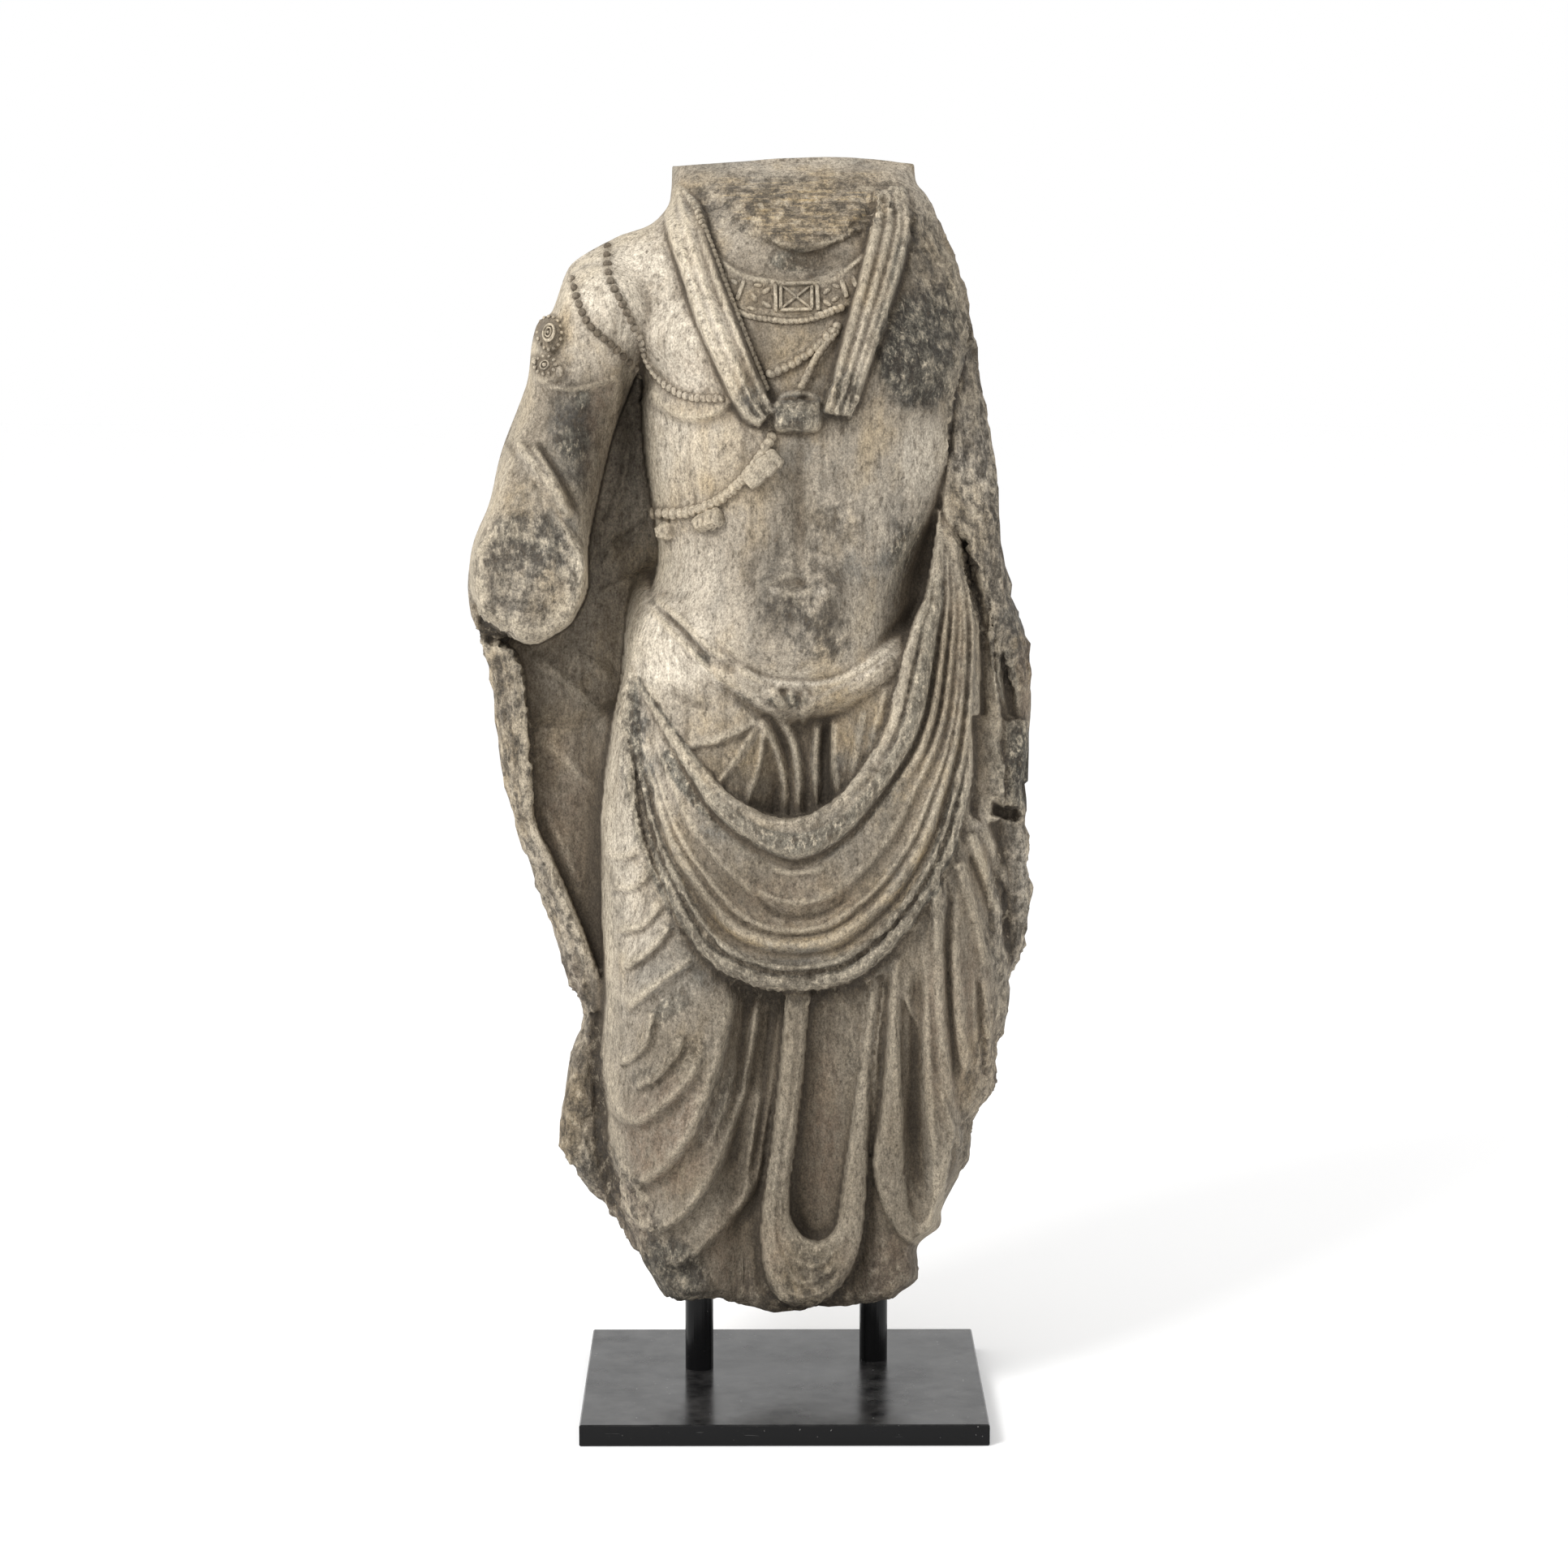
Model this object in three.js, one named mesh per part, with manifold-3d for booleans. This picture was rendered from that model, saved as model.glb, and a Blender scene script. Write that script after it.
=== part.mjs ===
// Schist bodhisattva torso on its stand: one carved stone, broken at the neck, the arms and the
// feet, held up by two rods on a plate. Millimetres, +Z up, the front faces -Y. The origin is the
// middle of the plate's underside.
import * as THREE from 'three';
import Module from 'manifold-3d';
import { mergeVertices } from 'three/addons/utils/BufferGeometryUtils.js';

const wasm = await Module();
wasm.setup();

// Stand
const plateWidth = 280;
const plateDepth = 260;
const plateThickness = 15;
const plateChamfer = 1;
const rodDiameter = 20;
const rodSides = 32;
const rodShown = 54;
const rodSeat = 60;
const seatClearance = 0.3;
const rods = {
  'left rod': { x: -60, y: 21 },
  'right rod': { x: 65, y: 45 },
};

// Stone: its height, from the lowest fold to the top of the neck break. Every other size of the
// figure is a share of it.
const stoneHeight = 804;
const stoneTriangles = 9200;
const edgeCost = 0.002;
const leastTurn = 0.4;
const leastFace = 0.5;
const drawnRows = 300;
const drawnColumns = 130;
const wornPasses = 2;

// The figure is drawn as an eye 3 m in front of it sees it: x to the right and y down in drawing
// units of a little under 0.6 mm, and a height h in millimetres towards the viewer.
const eye = { x: -17, y: -3018, z: 828 };
const drawing = { middle: 966, distance: 5367, tilt: 7.35, turn: 0.33 };
const unit = 0.565;
const highest = { x: 968, y: 194, h: -62 };
const lowest = { x: 956, y: 1617, h: 35 };

const outline = {
  left: [[829, 192], [827, 235], [822, 256], [800, 278], [760, 292], [711, 320], [695, 342],
    [680, 384], [664, 396], [655, 425], [648, 475], [618, 555], [603, 620], [582, 675], [578, 745],
    [600, 820], [614, 920], [629, 995], [652, 1062], [680, 1140], [700, 1205], [716, 1235],
    [716, 1270], [703, 1305], [690, 1395], [693, 1420], [725, 1460], [775, 1524], [800, 1575],
    [820, 1604]],
  right: [[1126, 192], [1129, 224], [1147, 250], [1185, 340], [1193, 380], [1215, 500], [1222, 550],
    [1244, 720], [1267, 800], [1270, 885], [1263, 1000], [1269, 1040], [1264, 1070], [1270, 1100],
    [1262, 1160], [1246, 1200], [1242, 1250], [1229, 1290], [1228, 1335], [1197, 1380],
    [1190, 1430], [1161, 1485], [1157, 1510], [1130, 1535], [1131, 1580], [1100, 1604]],
  top: [[829, 205], [870, 202], [914, 199], [968, 195], [1044, 194], [1126, 202]],
  bottom: [[800, 1590], [842, 1603], [877, 1598], [927, 1610], [956, 1617], [985, 1614],
    [1012, 1609], [1057, 1607], [1110, 1596]],
};
const firstRow = 200;
const lastRow = 1604;

// The rim where the front turns to the sides, and the plain back: y, h on the left, h on the right
const rim = [[190, -72, -72], [206, -70, -65], [260, -40, -45], [300, -25, -40], [350, -10, -40],
  [480, -5, -30], [600, 0, -30], [700, 15, -25], [770, 5, -20], [800, -25, -18], [1000, -30, -10],
  [1100, -40, -15], [1250, -35, -15], [1400, -30, -20], [1500, -20, -20], [1560, 0, -5],
  [1620, 20, 10]];
const rimRound = 14;
const rimKeep = 9;
const hemRound = 16;
const back = { h: -90, inset: 10, round: 16, run: 34 };

// Body stations: y, left side, right side, h in the middle, h at the left side, h at the right side
const torsoRows = [[188, 828, 1128, -60, -70, -70], [250, 822, 1146, -10, -40, -45],
  [290, 762, 1160, 14, -25, -40], [340, 700, 1183, 28, -14, -35], [400, 720, 1190, 42, -10, -25],
  [460, 786, 1192, 51, -10, -15], [500, 790, 1180, 54, -10, -10], [560, 794, 1172, 54, -14, -5],
  [620, 803, 1160, 55, -16, -5], [680, 811, 1145, 58, -18, -8], [720, 804, 1135, 63, -16, -12],
  [760, 786, 1126, 67, -10, -16], [800, 774, 1122, 66, -6, -12], [850, 764, 1150, 50, -20, -20],
  [900, 756, 1180, 20, -40, -40], [960, 744, 1200, -50, -70, -70],
  [1640, 744, 1200, -200, -200, -200]];

// Leg stations: y, middle, half width, h of the front
const legRows = [
  [[690, 868, 86, -40], [740, 868, 94, 26], [790, 869, 100, 47], [830, 870, 104, 52],
    [900, 868, 114, 54], [1000, 856, 114, 57], [1100, 846, 106, 58], [1200, 838, 94, 58],
    [1300, 832, 90, 57], [1400, 834, 84, 54], [1500, 846, 76, 46], [1640, 866, 66, 34]],
  [[690, 1120, 80, -60], [760, 1116, 86, 0], [820, 1110, 95, 42], [900, 1108, 110, 50],
    [1000, 1108, 120, 54], [1100, 1114, 122, 58], [1200, 1124, 118, 60], [1300, 1130, 104, 58],
    [1400, 1124, 84, 54], [1500, 1110, 66, 44], [1640, 1092, 54, 30]],
];

// The cloak behind the figure: y, h
const cloakRows = [[188, -60], [430, -44], [650, -48], [800, -40], [950, -34], [1100, -26],
  [1210, -16], [1300, -14], [1640, -15]];
const rightCloakRows = [[560, -60], [630, 0], [960, 2], [1010, 6], [1100, 4], [1200, -6], [1340, -12],
  [1420, -30]];

// The arm that is left: x, y, radius, h of its axis, down to the break at the elbow
const armRows = [[742, 392, 66, 6], [714, 460, 66, 8], [697, 520, 61, 12], [676, 590, 65, 18],
  [656, 660, 71, 24], [652, 712, 73, 26]];
const armBreak = { x: 652, y: 708, wide: 71, high: 82, h: 60, roll: 9 };
const neckBreak = { x: 985, y: 205, wide: 112, high: 101, slope: 1.25, lip: 33, edge: 4 };

// Broken edges of the cloak: under the arm down to the foot, and down the right side
const cloakLeft = {
  outer: [[574, 785], [588, 853], [600, 920], [616, 990], [640, 1062], [668, 1140], [688, 1205],
    [700, 1250]],
  inner: [[630, 797], [646, 830], [652, 904], [660, 1006], [684, 1062], [724, 1158], [746, 1215],
    [757, 1243]],
  level: [[785, -10], [850, -12], [1000, -14], [1100, -12], [1200, -8], [1250, -8]],
};
const cloakRight = {
  inner: [[1196, 410], [1184, 450], [1173, 497], [1166, 560], [1160, 600], [1165, 640], [1192, 668],
    [1217, 732], [1224, 779], [1228, 830], [1236, 890]],
  outer: [[1205, 410], [1212, 450], [1228, 497], [1238, 590], [1250, 680], [1262, 740], [1282, 800],
    [1284, 850], [1280, 890]],
  level: [[410, -22], [500, -4], [560, 4], [600, 12], [650, 24], [700, 24], [800, 18], [890, 4]],
};

// Hollows and sheets between the swag and the broken edge: two edges, h down the drawing, how much
// it falls across, how softly it leaves the first edge, and over what share of its length it fades
const sidePieces = {
  'gap by the belly': {
    first: [[1153, 622], [1122, 662], [1101, 703], [1078, 762]],
    second: [[1160, 632], [1156, 686], [1148, 735], [1132, 787]],
    level: [[622, 14], [650, 2], [700, 4], [735, 16], [765, 36], [790, 50]],
    fall: 0,
    soft: 0.9,
    fade: 0.35,
  },
  'upper hollow': {
    first: [[1190, 668], [1197, 720], [1199, 780], [1197, 830], [1198, 884]],
    second: [[1193, 666], [1216, 730], [1222, 779], [1225, 819], [1234, 880]],
    level: [[666, 22], [700, 14], [800, 15], [884, 22]],
    fall: -4,
    soft: 0.6,
    fade: 0,
  },
  'lower hole': {
    first: [[1229, 806], [1231, 845], [1237, 880]],
    second: [[1238, 802], [1247, 842], [1257, 884]],
    level: [[802, 8], [830, -4], [884, -8]],
    fall: -6,
    soft: 0.6,
    fade: 0,
  },
  'sheet': {
    first: [[1196, 882], [1198, 950], [1195, 1000], [1212, 1016]],
    second: [[1234, 882], [1236, 940], [1235, 1002], [1218, 1016]],
    level: [[882, 24], [950, 28], [1016, 24]],
    fall: 3,
    soft: 0.05,
    fade: 0,
  },
  'stump': {
    first: [[1235, 888], [1235, 940], [1237, 988]],
    second: [[1280, 886], [1280, 940], [1276, 1002]],
    level: [[886, 10], [940, 14], [1002, 12]],
    fall: 10,
    soft: 0.05,
    fade: 0,
  },
  'under the stump': {
    first: [[1224, 984], [1240, 990], [1264, 1002]],
    second: [[1222, 1002], [1240, 1008], [1262, 1010]],
    level: [[984, -4], [1010, -2]],
    fall: 0,
    soft: 0.6,
    fade: 0,
  },
};

// Swag of the shawl, from the hip across the legs and up to the broken left arm
const swag = {
  inner: [[776, 818], [806, 862], [838, 906], [884, 963], [910, 985], [942, 1002], [972, 1007],
    [1003, 1000], [1038, 975], [1068, 936], [1090, 895], [1112, 815], [1125, 767], [1141, 728],
    [1154, 645], [1158, 600]],
  outer: [[764, 852], [778, 930], [783, 970], [794, 1036], [822, 1104], [850, 1157], [881, 1191],
    [926, 1213], [971, 1221], [1016, 1217], [1061, 1202], [1129, 1136], [1178, 1044], [1199, 950],
    [1206, 880], [1208, 800], [1200, 740], [1175, 640], [1166, 600]],
  level: [[590, 20], [650, 32], [720, 42], [800, 48], [900, 52], [1000, 56], [1230, 62]],
  roll: { at: 0.125, width: 0.125, height: 10, end: 0.25, endByBelly: 0.4 },
  folds: [[0.1, 0.03, -1.8], [0.27, 0.05, -3.5], [0.49, 0.05, 2.2], [0.56, 0.06, -2.5], [0.65, 0.03, 4],
    [0.685, 0.018, -2], [0.735, 0.05, 5], [0.8, 0.03, -3.5], [0.865, 0.03, 6], [0.9, 0.02, -2.5],
    [0.95, 0.055, 4.5]],
  sideFolds: [[0.36, 0.07, 5], [0.44, 0.05, -4], [0.54, 0.05, 4]],
  flatEnd: [770, 900],
};

// Shawl strands on the chest, and the flat torque between them
const strands = [
  { outer: [[828, 228], [818, 258], [824, 297], [840, 344], [862, 409], [909, 508], [934, 528]],
    inner: [[839, 226], [866, 256], [875, 291], [892, 344], [928, 438], [956, 506]],
    rise: 12,
    folds: [[0.08, 0.1, 3], [0.26, 0.09, 3], [0.5, 0.14, 4], [0.7, 0.06, -3], [0.86, 0.15, 4.5]] },
  { outer: [[1116, 230], [1124, 268], [1120, 303], [1106, 356], [1070, 462], [1052, 516]],
    inner: [[1076, 234], [1073, 274], [1050, 368], [1023, 470], [1014, 506]],
    rise: 13, folds: [[0.12, 0.09, 3], [0.32, 0.09, 3], [0.42, 0.05, -2.5], [0.55, 0.14, 4],
      [0.69, 0.06, -2.5], [0.84, 0.2, 5]] },
];
const torque = {
  outer: [[880, 306], [909, 333], [956, 345], [1003, 347], [1032, 338], [1064, 309]],
  inner: [[900, 372], [920, 386], [944, 390], [985, 394], [1021, 388], [1046, 376]],
};

// Body modelling: x, y, half width, half height, rise, turn in degrees, sharpness
const mounds = [[862, 432, 78, 74, 13, -8, 1.2], [1110, 430, 80, 72, 8, 8, 1.2],
  [985, 765, 110, 72, 8, 0, 1.3], [985, 640, 10, 120, -3, 0, 1], [980, 718, 24, 8, -4, 0, 1]];
const details = [[978, 868, 30, 22, 5, 0, 1.2], [1000, 322, 44, 14, -4, -6, 1],
  [1130, 505, 48, 10, 2, 0, 1], [676, 411, 17, 24, 12, 0, 0.5], [675, 411, 7, 10, 2.5, 0, 0.6],
  [675, 455, 20, 18, 10, 0, 0.5]];
const shoulder = [745, 395, 66, 100, 104, 12, 0.5];

// Blocks strung on the chest cords: x, y, half width, half height, rise, turn in degrees
const blocks = [[982, 513, 31, 20, 13, 0], [939, 578, 27, 13, 12, -42], [873, 641, 24, 12, 11, -22],
  [820, 653, 15, 11, 8, 5]];

// Rounded ribs and grooves: half width, rise, fade at the start, fade at the end, path
const ribs = [
  [22, -3, 0.2, 0.2, [[985, 540], [983, 600], [984, 690]]],
  [26, -2.5, 0.3, 0.3, [[1075, 560], [1098, 610], [1105, 670]]],
  [30, -2.5, 0.3, 0.3, [[905, 560], [880, 600], [868, 660], [872, 720]]],
  [7, 2.4, 0.3, 0.3, [[952, 727], [980, 733], [1014, 726]]],
  [7, 6, 0.1, 0.1, [[1028, 403], [1000, 425], [970, 446], [944, 459]]],
  [6, 6, 0.1, 0, [[1030, 412], [1008, 445], [985, 482], [982, 490]]],
  [8, 6, 0.05, 0.05, [[950, 540], [935, 566], [908, 598], [875, 622], [840, 632], [806, 632]]],
  [6, 5, 0.02, 0.02, [[752, 294], [747, 316], [752, 345], [767, 374], [785, 410], [801, 452], [822, 476],
    [850, 489], [889, 491]]],
  [6, 5, 0.02, 0.02, [[704, 339], [713, 373], [727, 401], [758, 429], [790, 462]]],
  [5, 3, 0.05, 0.1, [[652, 464], [673, 474], [700, 480], [735, 474], [768, 462]]],
  [6, 4.5, 0.1, 0.1, [[950, 502], [962, 490], [984, 484], [1004, 489], [1014, 500]]],
  [9, 6, 0.1, 0.1, [[632, 540], [650, 562], [680, 600], [706, 643]]],
  [6, 5, 0.1, 0.1, [[655, 546], [676, 578], [700, 622]]],
  [7, 6, 0.1, 0.1, [[1195, 670], [1214, 724], [1223, 779], [1227, 819], [1235, 878]]],
  [7, 3, 0.1, 0.2, [[799, 642], [770, 662], [744, 681]]],
  [7, 3, 0.1, 0.2, [[793, 706], [765, 718], [736, 731]]],
  [7, 3, 0.1, 0.1, [[776, 520], [768, 590], [748, 648]]],
  [8, 4, 0.1, 0.1, [[900, 812], [923, 830], [950, 840], [980, 844], [1016, 842], [1052, 828],
    [1090, 802], [1123, 773]]],
  [6, 3.5, 0.15, 0.1, [[796, 744], [829, 780], [861, 812], [880, 832]]],
  [6, 3.5, 0.15, 0.2, [[805, 734], [847, 771], [876, 800], [905, 818]]],
  [5, -3, 0.15, 0.2, [[803, 742], [842, 778], [872, 812]]],
  [16, 8, 0.1, 0.15, [[1128, 768], [1096, 802], [1063, 830], [1030, 850], [1000, 862]]],
  [14, 8, 0.1, 0.15, [[1126, 790], [1098, 820], [1063, 848], [1030, 868], [985, 876]]],
  [13, 7, 0.2, 0.1, [[872, 824], [900, 838], [930, 858], [956, 876]]],
  [11, 7, 0.2, 0.1, [[902, 822], [925, 838], [950, 856], [974, 874]]],
  [9, 5, 0.05, 0.2, [[952, 846], [962, 866], [976, 884], [984, 890]]],
  [9, 5, 0.05, 0.2, [[1008, 846], [1000, 866], [990, 884], [984, 890]]],
  [6, 4, 0.1, 0.2, [[972, 850], [978, 868], [982, 884]]],
  [5, 3.5, 0.1, 0.2, [[994, 850], [990, 868], [985, 884]]],
  [9, 7, 0.08, 0, [[936, 884], [955, 916], [966, 957], [967, 1006]]],
  [10, 8, 0.08, 0, [[950, 868], [973, 904], [983, 941], [984, 1008]]],
  [9, 7, 0.1, 0, [[1008, 888], [1004, 941], [1005, 1000]]],
  [7, -4, 0.1, 0, [[1018, 890], [1017, 941], [1018, 996]]],
  [8, 5, 0.1, 0, [[1028, 884], [1027, 935], [1033, 982]]],
  [9, 4, 0.1, 0, [[1065, 868], [1055, 929], [1050, 966]]],
  [8, 3, 0.1, 0, [[1094, 842], [1080, 890], [1070, 925]]],
  [6, 3.5, 0, 0.1, [[888, 960], [911, 929], [936, 888]]],
  [6, 3.5, 0, 0.1, [[922, 988], [936, 941], [941, 896]]],
  [7, -3, 0.15, 0.2, [[822, 848], [852, 866], [884, 872]]],
  [12, 3.5, 0.2, 0.3, [[652, 806], [700, 842], [750, 893]]],
  [12, 3, 0.2, 0.3, [[664, 905], [705, 944], [744, 994]]],
  [10, 3, 0.2, 0.3, [[666, 985], [690, 1035], [722, 1104]]],
  [12, 2.5, 0.2, 0.3, [[700, 800], [735, 822], [768, 850]]],
  [9, 2.5, 0.2, 0.3, [[740, 700], [765, 676], [790, 655]]],
  [11, 8, 0.04, 0.12, [[1157, 1080], [1155, 1131], [1156, 1213], [1161, 1278], [1167, 1343],
    [1178, 1395], [1184, 1425]]],
  [8, -5, 0.1, 0.2, [[1171, 1085], [1168, 1180], [1172, 1278], [1181, 1350]]],
  [10, 5, 0.1, 0.15, [[1176, 1150], [1180, 1213], [1186, 1278], [1196, 1335]]],
  [10, 7, 0.04, 0.12, [[1182, 1060], [1196, 1110], [1208, 1150], [1216, 1195]]],
  [7, -4, 0.1, 0.15, [[1192, 1046], [1212, 1100], [1226, 1160]]],
  [10, 7, 0.04, 0.12, [[1196, 1024], [1208, 1060], [1221, 1094], [1233, 1134]]],
  [8, 5, 0.1, 0.2, [[1210, 1020], [1226, 1050], [1240, 1100]]],
  [7, 5, 0.1, 0.15, [[1214, 1205], [1218, 1260], [1226, 1325]]],
  [6, -5, 0.1, 0.15, [[1205, 1200], [1208, 1270], [1214, 1330]]],
  [10, 5, 0.1, 0.15, [[1105, 1170], [1101, 1254], [1106, 1335], [1110, 1420]]],
  [12, -6, 0.1, 0.15, [[1131, 1190], [1129, 1270], [1127, 1350], [1128, 1416], [1137, 1486]]],
  [9, 4, 0.1, 0.15, [[1142, 1150], [1142, 1250], [1145, 1350], [1150, 1440]]],
  [7, -6, 0.1, 0.15, [[1094, 1192], [1087, 1300], [1080, 1420]]],
  [9, -5, 0.1, 0.15, [[925, 1218], [918, 1280], [905, 1350], [880, 1420]]],
  [7, -4, 0.1, 0.15, [[955, 1225], [945, 1310], [935, 1400], [922, 1460]]],
  [5, 3, 0.2, 0.2, [[948, 1068], [966, 1074], [1000, 1074], [1022, 1066]]],
  [5, -3, 0.2, 0.2, [[918, 1082], [950, 1122], [990, 1130], [1030, 1118], [1050, 1096]]],
];

// Lapping folds, steep on the left of their path and running out on its right: steep run, slow
// run, rise, fade at the start, fade at the end, path
const laps = [
  [10, 40, 5, 0.1, 0.25, [[796, 474], [818, 500], [847, 513], [877, 509], [905, 492], [930, 520]]],
  [7, 60, 3.5, 0.15, 0.15, [[870, 772], [902, 800], [925, 818], [953, 829], [998, 833], [1035, 826],
    [1079, 800], [1112, 772]]],
  [5, 40, 4.5, 0.1, 0.1, [[846, 920], [880, 914], [910, 902], [936, 885]]],
  [5, 16, 4.5, 0.2, 0.1, [[741, 1050], [762, 1056], [790, 1050]]],
  [5, 18, 5.5, 0.2, 0.1, [[750, 1092], [779, 1094], [806, 1071]]],
  [5, 20, 6, 0.2, 0.1, [[755, 1148], [792, 1140], [815, 1112]]],
  [5, 26, 7.5, 0.2, 0.1, [[762, 1196], [798, 1174], [830, 1138]]],
  [10, 26, 6, 0.2, 0.15, [[764, 1246], [813, 1209], [862, 1174]]],
  [6, 16, 6, 0.1, 0.1, [[760, 1308], [776, 1304], [794, 1288], [802, 1262], [806, 1244]]],
  [6, 20, 6, 0.15, 0.1, [[780, 1340], [806, 1328], [832, 1300], [842, 1272]]],
  [11, 26, 8, 0.08, 0.1, [[742, 1300], [754, 1352], [768, 1374], [790, 1378], [816, 1360], [846, 1330],
    [866, 1290]]],
  [12, 28, 9, 0.08, 0.08, [[742, 1368], [756, 1424], [776, 1452], [798, 1450], [828, 1424],
    [858, 1376], [884, 1300], [904, 1212]]],
  [12, 30, 9, 0.08, 0.08, [[752, 1444], [776, 1496], [802, 1512], [832, 1502], [862, 1468],
    [894, 1404], [920, 1310], [934, 1216]]],
  [11, 24, 6.5, 0.1, 0.08, [[812, 1560], [842, 1550], [872, 1528], [914, 1474], [926, 1400], [938, 1330]]],
  [9, 16, 5.5, 0.1, 0.08, [[900, 1500], [924, 1468], [934, 1440], [938, 1400], [956, 1310], [966, 1217]]],
];

// Pleats that hang as loops: outer edge, inner edge, h of the roll down its length, h of the hollow,
// whose floor leans about its middle
const pleats = [
  { outer: [[968, 1217], [960, 1310], [950, 1410], [940, 1480], [938, 1530], [944, 1572],
      [962, 1600], [990, 1610], [1018, 1600], [1042, 1574], [1058, 1537], [1066, 1480],
      [1074, 1340], [1090, 1195]],
    inner: [[999, 1224], [991, 1327], [973, 1473], [981, 1512], [1000, 1527], [1019, 1525],
      [1033, 1505], [1041, 1444], [1062, 1268], [1070, 1210]],
    level: [[1210, 44], [1350, 44], [1560, 48]], roll: 9, hollow: [[1230, 40], [1480, 32]],
    middle: 1020, lean: 0.16 },
  { outer: [[1091, 1230], [1087, 1340], [1076, 1426], [1081, 1462], [1092, 1497], [1110, 1524],
      [1130, 1532], [1150, 1516], [1162, 1480], [1170, 1440], [1178, 1390]],
    inner: [[1112, 1230], [1112, 1350], [1118, 1473], [1127, 1500], [1138, 1503], [1147, 1484],
      [1146, 1444], [1132, 1268]],
    level: [[1230, 56], [1400, 50], [1532, 42]], roll: 7, hollow: [[1230, 56], [1480, 42]],
    middle: 1128, lean: 0.14 },
];

// Curves and blends
const clamp = (value) => Math.min(Math.max(value, 0), 1);

function ease(from, to, value) {
  const share = clamp((value - from) / (to - from));
  return share * share * (3 - 2 * share);
}

function softMax(a, b, softness) {
  const top = Math.max(a, b);
  return top + softness * Math.log(Math.exp((a - top) / softness) + Math.exp((b - top) / softness));
}

// A hump of height 1 at the centre, down to 0 at the width
function hump(value, centre, width) {
  return Math.max(1 - ((value - centre) / width) ** 2, 0) ** 2;
}

// A smooth curve through the points, in any number of dimensions
function curve(points, steps = 6) {
  const before = points[0].map((value, k) => 2 * value - points[1][k]);
  const last = points.length - 1;
  const after = points[last].map((value, k) => 2 * value - points[last - 1][k]);
  const guide = [before, ...points, after];
  const line = [];
  for (let i = 1; i < guide.length - 2; i += 1) {
    const [a, b, c, d] = guide.slice(i - 1, i + 3);
    for (let step = 0; step < steps; step += 1) {
      const t = step / steps;
      line.push(b.map((value, k) => 0.5 * (2 * value + (c[k] - a[k]) * t
        + (2 * a[k] - 5 * value + 4 * c[k] - d[k]) * t * t
        + (3 * value - a[k] - 3 * c[k] + d[k]) * t ** 3)));
    }
  }
  line.push(points[last]);
  return line;
}

// The value in a column of rows that are sorted by their first number
function lookup(rows, at, column = 1) {
  if (at <= rows[0][0]) {
    return rows[0][column];
  }
  for (let i = 1; i < rows.length; i += 1) {
    if (at <= rows[i][0]) {
      const share = (at - rows[i - 1][0]) / (rows[i][0] - rows[i - 1][0]);
      return rows[i - 1][column] + share * (rows[i][column] - rows[i - 1][column]);
    }
  }
  return rows[rows.length - 1][column];
}

// The nearest place on a line: how far, at what share of its length, and on which side
function nearest(x, y, line) {
  let best = { distance: Infinity, share: 0, side: 1 };
  for (let i = 1; i < line.length; i += 1) {
    const [ax, ay] = line[i - 1];
    const dx = line[i][0] - ax;
    const dy = line[i][1] - ay;
    const along = clamp(((x - ax) * dx + (y - ay) * dy) / Math.max(dx * dx + dy * dy, 1e-9));
    const distance = Math.hypot(x - ax - along * dx, y - ay - along * dy);
    if (distance < best.distance) {
      const side = Math.sign(dx * (y - ay) - dy * (x - ax));
      best = { distance, share: (i - 1 + along) / (line.length - 1), side };
    }
  }
  return best;
}

function isInside(x, y, line) {
  let inside = false;
  for (let i = 0, j = line.length - 1; i < line.length; j = i, i += 1) {
    const crosses = (line[i][1] > y) !== (line[j][1] > y);
    if (crosses && x < line[i][0] + (line[j][0] - line[i][0]) * (y - line[i][1])
      / (line[j][1] - line[i][1])) {
      inside = !inside;
    }
  }
  return inside;
}

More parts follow.
